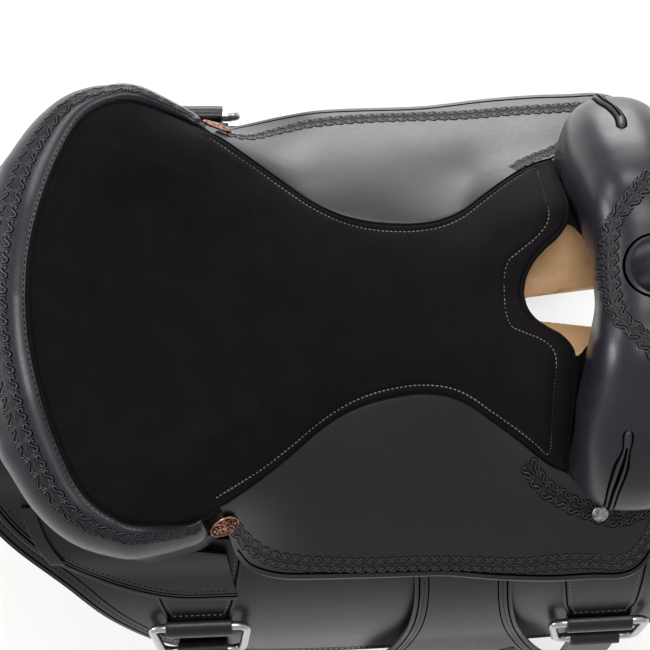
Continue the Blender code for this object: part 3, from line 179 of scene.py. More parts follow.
@dataclass(frozen=True)
class Leather(Finish):
    """Vegetable-tanned or chrome-tanned leather with pores, mottling and worn edges."""

    roughness: float = 0.36
    pore_mm: float = 0.9
    depth_mm: float = 0.05
    mottle_mm: float = 38.0
    fibre_mm: float = 3.2
    coat: float = 0.12
    carved: bool = False
    slot: str = "smooth_leather"

    def look(self, tree: Tree, place: Link) -> Inputs:
        """Pore bump, two scales of colour and a waxy coat, and painted shade where it is carved: black
        grooves with no reflection.
        """
        mottle, fibre = (node(tree, "TexNoise", "Fac", {"Vector": place, "Scale": 1 / (size * MM),
                                                        "Detail": detail, "Roughness": rough})
                         for size, detail, rough in ((self.mottle_mm, 4.0, 0.6), (self.fibre_mm, 5.0, 0.7)))
        pores = node(tree, "TexVoronoi", "Distance", {"Vector": place, "Scale": 1 / (self.pore_mm * MM)})
        height = node(tree, "Math", "Value", {0: pores, 1: fibre}, operation="ADD")
        worn = node(tree, "MapRange", "Result", {"Value": node(tree, "NewGeometry", "Pointiness"),
                                                 "From Min": 0.53, "From Max": 0.62, "To Max": 0.35})
        dyed = node(tree, "Mix", 2, {"Factor": 0.35, 6: self.toned(tree, mottle, 0.3, 0.7),
                                     7: self.toned(tree, fibre, 0.35, 0.65)}, data_type="RGBA")
        look = {"IOR": 1.5, "Coat Weight": self.coat, "Coat Roughness": 0.3}
        look["Base Color"] = node(tree, "Mix", 2, {"Factor": worn, 6: dyed, 7: srgb("#6b6b70")},
                                  data_type="RGBA")
        look["Roughness"] = node(tree, "MapRange", "Result", {
            "Value": fibre, "From Min": 0.3, "From Max": 0.7, "To Min": self.roughness - 0.05,
            "To Max": self.roughness + 0.07})
        look["Normal"] = node(tree, "Bump", "Normal", {"Height": height, "Distance": self.depth_mm * MM,
                                                       "Strength": 0.7})
        # Painted shade: where the tone falls to 0, the carved leather turns black, fully rough and black
        # metal, so its grooves show neither colour nor reflection.
        if self.carved:
            tone = node(tree, "Attribute", "Fac", attribute_name="tone")
            look["Coat Weight"] = 0.0
            look["Base Color"] = node(tree, "Mix", 2, {"Factor": tone, 6: srgb("#020202"),
                                                       7: look["Base Color"]}, data_type="RGBA")
            look["Roughness"] = node(tree, "MapRange", "Result", {"Value": tone, "To Min": 0.95,
                                                                  "To Max": look["Roughness"]})
            look["Metallic"] = node(tree, "Math", "Value", {0: 1.0, 1: tone}, operation="SUBTRACT",
                                    use_clamp=True)
        return look


@dataclass(frozen=True)
class Nap(Finish):
    """Soft surface of short fibres: suede, felt, wool or waxed thread."""

    fibre_mm: float = 0.6
    patch_mm: float = 26.0
    depth_mm: float = 0.12
    sheen: float = 0.25
    tint: str = "#4a4644"
    slot: str = "suede"

    def look(self, tree: Tree, place: Link) -> Inputs:
        """Brushed patches, fibre bump and sheen."""
        patch, fibre = (node(tree, "TexNoise", "Fac", {"Vector": place, "Scale": 1 / (size * MM),
                                                       "Detail": detail, "Roughness": rough})
                        for size, detail, rough in ((self.patch_mm, 5.0, 0.62), (self.fibre_mm, 3.0, 0.7)))
        mixed = node(tree, "Math", "Value", {0: patch, 1: fibre, 2: 0.2}, operation="MULTIPLY_ADD")
        bump = node(tree, "Bump", "Normal", {"Height": fibre, "Distance": self.depth_mm * MM,
                                             "Strength": 0.8})
        return {"Base Color": self.toned(tree, mixed, 0.38, 0.56), "Normal": bump, "Roughness": 0.95,
                "Specular IOR Level": 0.2, "Sheen Weight": self.sheen, "Sheen Roughness": 0.5,
                "Sheen Tint": srgb(self.tint)}


@dataclass(frozen=True)
class Metal(Finish):
    """Cast or drawn metal with fine wear and stains in its low places."""

    roughness: float = 0.25
    stain_share: float = 0.4
    stain_mm: float = 5.0
    grain_mm: float = 0.7
    slot: str = "polished_steel"

    def look(self, tree: Tree, place: Link) -> Inputs:
        """Stains and a fine uneven polish."""
        stains = node(tree, "TexNoise", "Fac", {"Vector": place, "Scale": 1 / (self.stain_mm * MM),
                                                "Detail": 6.0, "Roughness": 0.65})
        grain = node(tree, "TexNoise", "Fac", {"Vector": place, "Scale": 1 / (self.grain_mm * MM),
                                               "Detail": 2.0})
        gloss = node(tree, "MapRange", "Result", {"Value": stains, "From Min": 0.3, "From Max": 0.7,
                                                  "To Min": self.roughness + 0.15, "To Max": self.roughness})
        bump = node(tree, "Bump", "Normal", {"Height": grain, "Distance": 0.02 * MM, "Strength": 0.5})
        return {"Base Color": self.toned(tree, stains, self.stain_share, self.stain_share + 0.2),
                "Roughness": gloss, "Normal": bump, "Metallic": 1.0}


@dataclass(frozen=True)
class Paper(Finish):
    """Matt seamless paper, very slightly clouded."""

    cloud_mm: float = 3500.0

    def look(self, tree: Tree, place: Link) -> Inputs:
        """Even white with wide faint clouds."""
        cloud = node(tree, "TexNoise", "Fac", {"Vector": place, "Scale": 1 / (self.cloud_mm * MM),
                                               "Detail": 2.0})
        return {"Base Color": self.toned(tree, cloud, 0.3, 0.7), "Roughness": 0.9}


# Finished black harness leather: deep blue-black with a soft waxy highlight
SMOOTH = Leather("black_harness_leather", "#141418", "#0c0c0f")
# The same leather where it is stamped: its face is painted lighter than the smooth leather as a painted
# highlight on the ridges, and its grooves, creases and ground are painted black with no reflection as painted
# shade
CARVED = Leather("black_stamped_leather", "#2b2a32", "#1b1a20", roughness=0.34, carved=True)
# The roll's leather shows more of the sky's light than the panels do
ROLL = Leather("black_roll_leather", "#201e28", "#15141b", roughness=0.33)
# Strap leather is drier and a little greyer than the seat's
STRAP = Leather("black_strap_leather", "#202023", "#141416", roughness=0.46, coat=0.04)
# Undyed skirting leather round the hand hole: warm tan, darker where handled
NATURAL = Leather("natural_skirting_leather", "#fbd2a2", "#e8b682", roughness=0.5, pore_mm=1.2, depth_mm=0.06,
                  mottle_mm=22.0, coat=0.0, slot="natural_leather")
# Varnished rawhide drawn over the wooden tree: brown, hard and faintly glossy
RAWHIDE = Leather("varnished_rawhide", "#4a3a2a", "#33271c", roughness=0.45, pore_mm=2.5, coat=0.15,
                  slot="tree_wood")
# Moulded rubber on the stirrup's tread: dull, with a coarse grain under the boot
RUBBER = Leather("moulded_rubber", "#191919", "#101010", roughness=0.7, pore_mm=2.2, depth_mm=0.2, coat=0.0,
                 slot="tread_rubber")
# Brushed suede: nearly black, with faint lighter patches where the nap turns
SUEDE = Nap("black_suede", "#0f0b0c", "#070506", sheen=0.06)
# Felt filler behind the swell: rough and lightless
FELT = Nap("black_felt", "#121111", "#060606", fibre_mm=1.4, depth_mm=0.6, sheen=0.1)
# Woolskin under the skirts: cream locks with shaded roots
WOOL = Nap("cream_woolskin", "#e6dcc2", "#b7a67f", fibre_mm=2.4, patch_mm=9.0, depth_mm=1.6, sheen=0.5,
           tint="#fff4dc", slot="fleece_lining")
# Waxed nylon thread, mid grey, as on the seat's edge
THREAD_GREY = Nap("grey_waxed_thread", "#9a9a9c", "#6c6c70", fibre_mm=0.5, depth_mm=0.05, sheen=0.1)
# Black thread that shows only as dark dashes
THREAD_BLACK = Nap("black_waxed_thread", "#0c0c0e", "#050506", fibre_mm=0.5, depth_mm=0.05, sheen=0.05)
# Nickel-plated steel rings and sleeves: bright and even, with a soft haze
STEEL = Metal("nickel_plated_steel", "#c9c9c6", "#aeaca7", roughness=0.2, stain_share=0.22)
# Antique copper ornaments: rosy metal where the reliefs are rubbed
COPPER = Metal("antique_copper", "#d9a78c", "#7a4a36", roughness=0.3, slot="antique_copper")
# Brown patina that stays between the reliefs and makes the petals stand out
PATINA = Metal("brown_copper_patina", "#4a2c22", "#20120e", roughness=0.5, slot="antique_copper")
# Worn silver of the small conchos: bright rubs on grey tarnish
SILVER = Metal("worn_silver", "#cfcfcc", "#77757a", roughness=0.22)
# Studio paper: nearly pure white, so that only the shadow shows
FLOOR = Paper("white_paper_floor", "#fefefe", "#fcfcfc")


def dress(piece: Piece, finish: Finish, body: Optional[str] = None, *stands_for: str) -> Piece:
    """Gives a piece its finish, its CAD nodes and its body.

    Args:
        piece: The piece.
        finish: Finish whose material is built once.
        body: CAD body that carries it, if it rides on one.
        stands_for: CAD nodes that it replaces.

    Returns:
        The piece.
    """
    if finish.name not in MATERIALS:
        MATERIALS[finish.name] = finish.build()
    piece.data.materials.clear()
    piece.data.materials.append(MATERIALS[finish.name])
    if stands_for:
        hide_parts(*stands_for)
    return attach(piece, body) if body else piece


# Forms of the saddle, in millimetres


def smooth(value: Array) -> Array:
    """Smooth step from 0 to 1."""
    value = np.clip(value, 0.0, 1.0)
    return value * value * (3 - 2 * value)


def run_along(line: Array) -> Array:
    """Length along a polyline at each of its points."""
    return np.concatenate(([0.0], np.cumsum(np.linalg.norm(np.diff(line, axis=0), axis=1))))


def points_at(at: Array, run: Array, line: Array) -> Array:
    """Points of a polyline at the given lengths along it."""
    return np.stack([np.interp(at, run, line[:, axis]) for axis in range(line.shape[1])], -1)


def resample(points: Array, shares: Array) -> Array:
    """Points at the given shares of a polyline's length."""
    length = run_along(points)
    return points_at(np.asarray(shares) * length[-1], length, points)


def curve(points: Sequence[Sequence[float]], count: int) -> Array:
    """Evenly spaced points on a smooth curve through the given ones.

    Args:
        points: Points to pass through.
        count: Number of points wanted.

    Returns:
        Array of count points.
    """
    points = np.array(points, float)
    padded = np.vstack((2 * points[0] - points[1], points, 2 * points[-1] - points[-2]))
    dense = []
    for index in range(len(points) - 1):
        before, start, end, after = padded[index:index + 4]
        for part in np.linspace(0, 1, 12, endpoint=False):
            dense.append(0.5 * (2 * start + (end - before) * part
                                + (2 * before - 5 * start + 4 * end - after) * part ** 2
                                + (3 * start - before - 3 * end + after) * part ** 3))
    dense.append(points[-1])
    return resample(np.array(dense), np.linspace(0, 1, count))


def eased(at: Array, knots: Array, values: Array) -> Array:
    """Smooth values through knots, level at the first one.

    Args:
        at: Places at which values are wanted.
        knots: Rising places of the known values.
        values: The known values.

    Returns:
        Values at the wanted places.
    """
    slopes = np.gradient(values, knots)
    slopes[0] = 0.0
    index = np.clip(np.searchsorted(knots, at) - 1, 0, len(knots) - 2)
    width = knots[index + 1] - knots[index]
    part = (at - knots[index]) / width
    start, end = values[index], values[index + 1]
    return (start * (2 * part ** 3 - 3 * part ** 2 + 1) + end * (3 * part ** 2 - 2 * part ** 3)
            + slopes[index] * width * (part ** 3 - 2 * part ** 2 + part)
            + slopes[index + 1] * width * (part ** 3 - part ** 2))


def mirrored(points: Array) -> Array:
    """Near-side curve with its off-side half put before it."""
    return np.vstack((points[::-1][:-1] * (1, -1), points))


def flip(points: Array, side: Side) -> Array:
    """Near-side points, or their mirror image for the off side."""
    return points * np.array((1.0, side.value, 1.0))


def normals_2d(line: Array) -> Array:
    """Unit normals to the left of a plane curve."""
    ahead = np.gradient(line, axis=0)
    ahead /= np.maximum(np.linalg.norm(ahead, axis=1), 1e-9)[:, None]
    return np.stack((-ahead[:, 1], ahead[:, 0]), -1)


def inset(line: Array, distance: float) -> Array:
    """Plane curve moved to its right by a distance."""
    return line + normals_2d(line) * -distance


def between(first: Array, last: Array, count: int) -> Array:
    """Grid of plan points from one line of points across to another."""
    share = np.linspace(0, 1, count)[None, :, None]
    return first[:, None] * (1 - share) + last[:, None] * share


@dataclass
class Back:
    """Horse's back: layers of leather lie at a lift above it."""

    centre: float = 12.0
    rocker: float = 8.0
    length: float = 250.0
    twist: float = 2.0
    slopes: tuple = ((0, 8), (64, 20), (130, 38), (200, 56), (231, 68), (290, 82), (360, 86), (430, 88))
    drape_end: float = 330.0
    hang_blend: float = 60.0
    clearance: float = 4.5
    tree_bottom: float = 19.6
    plate: float = 4.4
    bar_rise: tuple = (9.0, 17.0, 120.0, 42.0)
    jockey_edge: tuple = (184.0, 34.0)
    jockey_room: float = 4.5

    def __post_init__(self) -> None:
        """Sums the slopes up to the section across the back."""
        self.out = np.arange(0.0, 431.0)
        knots = np.array(self.slopes, float)
        self.angles = np.radians(np.interp(self.out, knots[:, 0], knots[:, 1]))
        middle = (self.angles[1:] + self.angles[:-1]) / 2
        self.across = np.concatenate(([0.0], np.cumsum(np.cos(middle))))
        self.down = np.concatenate(([0.0], np.cumsum(np.sin(middle))))

    def turn_at(self, x: Array) -> Array:
        """Twist of the section at X, in radians."""
        return math.radians(self.twist) * x / self.length

    def skin(self, x: Array, out: Array, lift: Array) -> Array:
        """Points above the back.

        Args:
            x: Place along the horse.
            out: Distance from the spine, measured on the back.
            lift: Height above the back, square to it.

        Returns:
            The points on the near side.
        """
        x, out, lift = np.broadcast_arrays(np.asarray(x, float), out, lift)
        twist = self.turn_at(x)
        across, down = np.interp(out, self.out, self.across), np.interp(out, self.out, self.down)
        y = np.cos(twist) * across - np.sin(twist) * down
        z = self.centre + self.rocker * (x / self.length) ** 2 - np.cos(twist) * down - np.sin(twist) * across
        angle = np.interp(out, self.out, self.angles) + twist
        return np.stack((x, y + lift * np.sin(angle), z + lift * np.cos(angle)), -1)

    def hanging(self, x: Array, along: Array, lift: Array, centre_x: float, start: float) -> Array:
        """Points that follow the back and then hang straight down.

        Args:
            x: Place along the horse.
            along: Distance from the spine.
            lift: Height above the back.
            centre_x: X of the middle of what hangs.
            start: Distance at which it starts to leave the back.

        Returns:
            The points on the near side.
        """
        x, along, lift = np.broadcast_arrays(np.asarray(x, float), along, lift)
        upper = self.skin(x, np.minimum(along, self.drape_end), lift)
        upper[..., 2] -= np.maximum(along - self.drape_end, 0.0)
        mid = self.tree_bottom + 2.0
        anchor = self.skin(centre_x, self.drape_end, mid)
        lower = np.stack((x, anchor[1] + self.clearance + lift - mid,
                          anchor[2] - along + self.drape_end), -1)
        weight = smooth((along - start) / self.hang_blend)[..., None]
        return upper * (1 - weight) + lower * weight

    def rear_lift(self, out: Array) -> Array:
        """Height of the rear jockey's underside above the back, which rises over the bar."""
        out = np.asarray(out, float)
        edge, fall = self.jockey_edge
        low, rise, start, width = self.bar_rise
        outside = self.tree_bottom + self.plate
        bar = low + rise * smooth((start - out) / width)
        return outside + (self.tree_bottom + bar + 1.0 - outside) * smooth((edge - out) / fall)

    def rear_top(self, x: float, y: float) -> float:
        """Height of the rear jockey's top at X and a distance Y from the middle."""
        out = np.linspace(30.0, 300, 200)
        points = self.skin(np.full(200, x), out, self.rear_lift(out) + self.jockey_room)
        return float(np.interp(y, points[:, 1], points[:, 2]))


@dataclass
class Seat:
    """Dished and waisted top of the seat, fitted through measured heights."""

    heights: tuple = (
        (-222, 0, 148), (-190, 0, 114), (-150, 0, 88), (-90, 0, 74), (-20, 0, 72), (52, 0, 84),
        (100, 0, 97), (130, 0, 107), (160, 0, 122), (-213, 69, 141), (-191, 131, 121), (-146, 159, 94),
        (-150, 80, 90), (-90, 80, 76), (-90, 143, 62), (-86, 156, 26), (-20, 70, 66), (-20, 110, 44),
        (-20, 150, 13), (-20, 181, -18), (52, 64, 71), (52, 100, 49), (52, 150, 14), (52, 182, -18),
        (100, 30, 98), (100, 70, 75), (100, 110, 42), (100, 150, 14), (100, 185, -18), (152, 58, 127),
        (150, 90, 88), (150, 117, 46), (150, 150, 17), (150, 188, -18), (204, 190, -18), (204, 150, 12),
        (204, 117, 33), (250, 165, 0), (-84, 172, -18))
    softness: float = 150.0
    rear: tuple = ((-222, 0), (-221, 24), (-218, 46), (-213, 69), (-207, 91), (-200, 111), (-191, 131),
                   (-181, 144), (-166, 154), (-150, 158.5))
    waist: tuple = ((-150, 158.5), (-118, 154), (-86, 138), (-62, 121), (-40, 104), (-20, 88), (0, 76),
                    (20, 69), (40, 65.5), (58, 64.5), (76, 67), (92, 74), (108, 86), (124, 98), (140, 110),
                    (152, 117), (162, 121))
    front: tuple = ((130, 0), (132.5, 12), (138, 22), (146, 30), (155, 37), (162, 46), (164, 54),
                    (165, 66), (164, 82), (163, 95), (162, 109), (162, 121))

    def __post_init__(self) -> None:
        """Fits a thin plate through the measured heights of both sides."""
        rows = np.array(list(self.heights) + [(x, -y, z) for x, y, z in self.heights if y > 0], float)
        count = len(rows)
        apart = np.hypot(rows[:, None, 0] - rows[None, :, 0], rows[:, None, 1] - rows[None, :, 1])
        matrix = np.zeros((count + 3, count + 3))
        matrix[:count, :count] = self.kernel(apart) + self.softness * np.eye(count)
        matrix[:count, count:] = np.column_stack((np.ones(count), rows[:, :2]))
        matrix[count:, :count] = matrix[:count, count:].T
        self.centres = rows[:, :2]
        self.weights = np.linalg.solve(matrix, np.concatenate((rows[:, 2], np.zeros(3))))

    @staticmethod
    def kernel(distance: Array) -> Array:
        """Thin plate's pull at a distance."""
        return distance ** 2 * np.log(np.maximum(distance, 1e-9))

    def height(self, x: Array, y: Array) -> Array:
        """Height of the seat leather's top at X, Y."""
        x, y = np.broadcast_arrays(np.asarray(x, float), np.asarray(y, float))
        apart = np.hypot(x[..., None] - self.centres[:, 0], y[..., None] - self.centres[:, 1])
        w = self.weights
        return self.kernel(apart) @ w[:-3] + w[-3] + w[-2] * x + w[-1] * y

    def slopes_at(self, x: Array, y: Array) -> tuple[Array, Array]:
        """Slopes of the seat's top along X and Y."""
        return ((self.height(x + 0.5, y) - self.height(x - 0.5, y)),
                (self.height(x, y + 0.5) - self.height(x, y - 0.5)))

    def skin(self, x: Array, y: Array, lift: Array) -> Array:
        """Points straight above X, Y that lie lift from the seat leather's top."""
        along, across = self.slopes_at(np.asarray(x, float), np.asarray(y, float))
        x, y, lift, size = np.broadcast_arrays(x, y, lift, np.sqrt(1 + along ** 2 + across ** 2))
        return np.stack((x, y, self.height(x, y) + lift * size), -1)

    def normal(self, x: float, y: float) -> Array:
        """Upward unit normal of the seat leather at X, Y."""
        along, across = self.slopes_at(np.asarray(float(x)), np.asarray(float(y)))
        normal = np.array((-float(along), -float(across), 1.0))
        return normal / np.linalg.norm(normal)

    def pad_outline(self, count: int) -> Array:
        """Closed outline of the pad, near side, from the cantle's middle to the keyhole's."""
        return np.vstack((curve(self.rear, count)[:-1], curve(self.waist, count)[:-1],
                          curve(self.front, count)[::-1]))

    def rim(self, count: int, end: tuple = ((-108, 149.8),)) -> tuple[Array, ...]:
        """Pad's rear edge from side to side.

        Args:
            count: Number of points along it.
            end: Last points of its near half.

        Returns:
            Points, outward directions, shares from the middle and heights.
        """
        points = list(self.rear) + [p for p in self.waist if -140 < p[0] < -110] + list(end)
        line = mirrored(resample(curve(points, 160), np.linspace(0, 1, (count + 1) // 2)))
        return line, normals_2d(line), np.linspace(-1, 1, len(line)), self.height(line[:, 0], line[:, 1])


@dataclass
class Swell:
    """Rounded front of the tree: a superellipse section swept over the gullet."""

    centre: float = 60.0
    end: float = 101.5
    power: float = 2.5
    radius: float = 135.0
    sections: tuple = (
        (0, 118, 38, 216, 36), (14, 121, 39, 216, 36), (28, 132, 42, 213, 37), (42, 136, 45, 211, 39),
        (54, 140, 49, 209, 41), (66, 148, 53, 207, 41), (76, 154.5, 57, 206, 40), (86, 156, 60, 205, 40),
        (94, 147, 63, 204, 41), (101.5, 134, 66, 203, 41))

    def values(self, angle: Array) -> list[Array]:
        """Outer radius, inner radius, middle X and half thickness at an angle."""
        knots = np.array(self.sections, float)
        at = np.clip(np.abs(np.asarray(angle, float)), knots[0, 0], knots[-1, 0])
        return [eased(at, knots[:, 0], knots[:, column]) for column in range(1, 5)]

    def swung(self, x: Array, radius: Array, angle: Array) -> Array:
        """Points at X and a radius and angle in degrees about the gullet's axis."""
        tilt = np.radians(angle)
        return np.stack((x, radius * np.sin(tilt), self.centre + radius * np.cos(tilt)), -1)

    def skin(self, angle: Array, turn: Array, depth: Array) -> Array:
        """Points on the section at a turn round it, a depth under its outside."""
        angle, turn = np.broadcast_arrays(np.asarray(angle, float), np.asarray(turn, float))
        outer, inner, middle, half = self.values(angle)
        power = 2.0 / self.power
        cosine, sine = np.cos(np.radians(turn)), np.sin(np.radians(turn))
        x = middle + (half - depth) * np.sign(cosine) * np.abs(cosine) ** power
        radius = (outer + inner) / 2 + ((outer - inner) / 2 - depth) * np.sign(sine) * np.abs(sine) ** power
        return self.swung(x, radius, angle)

    def top(self, x: Array, arc: Array, lift: Array) -> Array:
        """Points on the swell's outside at X and an arc length across from its middle."""
        x, arc, lift = np.broadcast_arrays(np.asarray(x, float), arc, lift)
        angle = np.degrees(arc / self.radius)
        outer, inner, middle, half = self.values(angle)
        share = np.minimum(np.abs(x - middle) / half, 0.995)
        rise = (1 - share ** self.power) ** (1 / self.power)
        steep = np.minimum(share ** (self.power - 1) * rise ** (1 - self.power) * (outer - inner) / 2
                           / half, 3.0)
        radius = (outer + inner) / 2 + (outer - inner) / 2 * rise + lift / np.sqrt(1 + steep ** 2)
        shift = np.sign(x - middle) * lift * steep / np.sqrt(1 + steep ** 2)
        return self.swung(x + shift, radius, angle)

    def height(self, x: Array, y: Array) -> Array:
        """Height of the swell's top at X, Y, found by stepping towards it."""
        x, y = np.broadcast_arrays(np.asarray(x, float), y)
        z = np.full(x.shape, 170.0)
        for _ in range(30):
            arc = self.radius * np.arctan2(y, z - self.centre)
            z = self.top(x, arc, 0 * arc)[..., 2]
        return z

    def rear_x(self, y: float, z: float) -> float:
        """X of the swell's rear face at Y, Z."""
        outer, inner, middle, half = self.values(math.degrees(math.atan2(abs(y), z - self.centre)))
        radius = math.hypot(y, z - self.centre)
        share = min(abs(radius - (outer + inner) / 2) / ((outer - inner) / 2), 1.0)
        return float(middle - half * (1 - share ** self.power) ** (1 / self.power))


BACK, SEAT, SWELL = Back(), Seat(), Swell()


# Mesh making


def only(piece: Piece) -> None:
    """Makes a piece the one selected and active object."""
    bpy.ops.object.select_all(action="DESELECT")
    piece.select_set(True)
    bpy.context.view_layer.objects.active = piece


def modify(piece: Piece, kind: str, **settings) -> None:
    """Adds a modifier with its settings and applies it."""
    only(piece)
    made = piece.modifiers.new(kind.lower(), kind)
    for name, value in settings.items():
        setattr(made, name, value)
    bpy.ops.object.modifier_apply(modifier=made.name)


def edit(piece: Piece, *steps: tuple) -> None:
    """Runs mesh operators on the whole of a piece.

    Args:
        piece: The piece.
        steps: Operator and its settings, in order.
    """
    only(piece)
    bpy.ops.object.mode_set(mode="EDIT")
    for operator, settings in steps:
        bpy.ops.mesh.select_all(action="SELECT")
        operator(**settings)
    bpy.ops.mesh.select_all(action="DESELECT")
    bpy.ops.object.mode_set(mode="OBJECT")


def close(piece: Piece, angle: float = 38.0) -> Piece:
    """Drops stray vertices, turns the faces outwards and shades them smooth up to an angle."""
    edit(piece, (bpy.ops.mesh.delete_loose, {}), (bpy.ops.mesh.normals_make_consistent, {"inside": False}))
    piece.data.update()
    only(piece)
    bpy.ops.object.shade_smooth_by_angle(angle=math.radians(angle))
    return piece


def round_edges(piece: Piece, width: float, segments: int, angle: float) -> None:
    """Rounds the edges that are sharper than an angle in degrees, by a width in millimetres."""
    modify(piece, "BEVEL", width=width * MM, segments=segments, limit_method="ANGLE",
           angle_limit=math.radians(angle), use_clamp_overlap=True)


def grid_piece(name: str, top: Array, bottom: Optional[Array] = None, edge: float = 0.8,
               angle: float = 38.0) -> Piece:
    """Sheet shaped from a primitive grid, thickened and rounded at its rim.

    Args:
        name: Name of the piece.
        top: Rows by columns of points in millimetres.
        bottom: Underside points, where it isn't a bare surface.
        edge: Width of the rounded rim in millimetres.
        angle: Limit for smooth shading, in degrees.

    Returns:
        The sheet.
    """
    rows, columns = top.shape[:2]
    bpy.ops.mesh.primitive_grid_add(x_subdivisions=columns - 1, y_subdivisions=rows - 1, size=1.0)
    piece = bpy.context.object
    piece.name = piece.data.name = name
    piece.data.vertices.foreach_set("co", (top.reshape(-1, 3) * MM).ravel())
    if bottom is not None:
        first = Vector(top[0, 1] - top[0, 0]).cross(Vector(top[1, 0] - top[0, 0]))
        if first.dot(Vector(bottom[0, 0] - top[0, 0])) > 0:
            edit(piece, (bpy.ops.mesh.flip_normals, {}))
        modify(piece, "SOLIDIFY", thickness=0.5 * MM, offset=-1.0, use_even_offset=False)
        both = np.concatenate((top.reshape(-1, 3), bottom.reshape(-1, 3))) * MM
        piece.data.vertices.foreach_set("co", both.ravel())
        if edge:
            round_edges(piece, edge, 3, 55)
    return close(piece, angle)


def sheet(name: str, stands_for: str, grids: Grids, side: Side, finish: Finish,
          body: Optional[str] = "saddle", edge: float = 1.0, angle: float = 38.0) -> Piece:
    """Leather sheet between two grids that stands for a CAD node.

    Args:
        name: Name of the piece.
        stands_for: CAD node that it replaces.
        grids: Top and underside on the near side.
        side: Side of the horse.
        finish: Finish of the sheet.
        body: CAD body that carries it, if any yet.
        edge: Width of its rounded rim in millimetres.
        angle: Limit for smooth shading, in degrees.

    Returns:
        The sheet.
    """
    piece = grid_piece(name, flip(grids[0], side), flip(grids[1], side), edge, angle)
    return dress(piece, finish, body, stands_for)


def refined(node_name: str, name: str, finish: Finish, body: str, bevel: float, levels: int,
            angle: float = 35.0, quads: bool = True) -> Piece:
    """Finer copy of a CAD node: merged, its edges rounded and its forms subdivided.

    Args:
        node_name: CAD node to copy and stand for.
        name: Name of the new piece.
        finish: Its finish.
        body: CAD body that carries it.
        bevel: Width of the rounded edges in millimetres.
        levels: Subdivision levels.
        angle: Edges sharper than this many degrees are rounded.
        quads: Whether pairs of triangles are joined first.

    Returns:
        The new piece.
    """
    piece = bpy.data.objects.new(name, FRAME["nodes"][node_name].data.copy())
    bpy.context.scene.collection.objects.link(piece)
    piece.data.name = name
    joined = (bpy.ops.mesh.tris_convert_to_quads, {"face_threshold": math.radians(40),
                                                   "shape_threshold": math.radians(60)})
    edit(piece, (bpy.ops.mesh.remove_doubles, {"threshold": 0.02 * MM}), *([joined] if quads else []),
         (bpy.ops.mesh.dissolve_limited, {"angle_limit": math.radians(0.2)}))
    if bevel:
        round_edges(piece, bevel, 2, angle)
    if levels:
        modify(piece, "SUBSURF", levels=levels, render_levels=levels)
    return dress(close(piece), finish, body, node_name)


def loop_piece(name: str, stands_for: str, grid: Array, side: Side, finish: Finish, body: str) -> Piece:
    """Piece shaped from a torus: closed along its rows and closed round its section.

    Args:
        name: Name of the piece.
        stands_for: CAD node that it replaces.
        grid: Rows round the loop by columns round the section, in millimetres.
        side: Side of the horse.
        finish: Finish of the piece.
        body: CAD body that carries it.

    Returns:
        The closed loop.
    """
    bpy.ops.mesh.primitive_torus_add(major_segments=grid.shape[0], minor_segments=grid.shape[1],
                                     location=(0, 0, 0), rotation=(0, 0, 0))
    piece = bpy.context.object
    piece.name = piece.data.name = name
    piece.data.vertices.foreach_set("co", (flip(grid, side).reshape(-1, 3) * MM).ravel())
    return dress(close(piece, 50.0), finish, body, stands_for)


@dataclass(frozen=True)
class Stroke:
    """Cross-section swept along a line on a surface: offset, lift and tone of each corner, where a tone of 0
    is painted shade and 1 is the leather's face.
    """

    offsets: tuple
    lifts: tuple
    tones: tuple


# Tones below 1 in these strokes are painted shade: the grooves of scrolls, creases and the horn's groove, and
# the sides of welts and folds, are coloured dark because the shallow relief casts little shade of its own.
SCROLL = Stroke((-2.0, -1.6, -1.0, -0.5, 0.5, 1.0, 1.6, 2.0),
                (-0.4, 0.12, 0.12, 0.85, 0.85, 0.12, 0.12, -0.4), (0.5, 0.0, 0.0, 1.0, 1.0, 0.0, 0.0, 0.5))
CREASE = Stroke((-1.0, -0.5, 0.5, 1.0), (-0.25, 0.2, 0.2, -0.25), (0.4, 0.0, 0.0, 0.4))
GROOVE = Stroke((-1.5, -0.8, 0.8, 1.5), (-0.3, 0.15, 0.15, -0.3), (0.5, 0.0, 0.0, 0.5))
WELT = Stroke((-5.2, -4.4, -3.4, -2.0, 0.0, 2.0, 3.4, 4.4, 5.2),
              (-0.6, 0.12, 0.2, 2.0, 2.7, 2.0, 0.2, 0.12, -0.6),
              (1.0, 0.0, 0.0, 1.0, 1.0, 1.0, 0.0, 0.0, 1.0))
FOLD = Stroke((-1.5, -0.8, 0.8, 1.5), (2.0, 2.85, 2.85, 2.0), (1.0, 0.0, 0.0, 1.0))
BINDING = Stroke((-1.7, -1.1, 0.0, 1.1, 1.7), (-3.0, -1.1, -0.55, -1.1, -3.0), (1.0,) * 5)
ROPE = Stroke((-0.75, -0.4, 0.0, 0.4, 0.75), (-0.3, 0.35, 0.7, 0.35, -0.3), (1.0,) * 5)


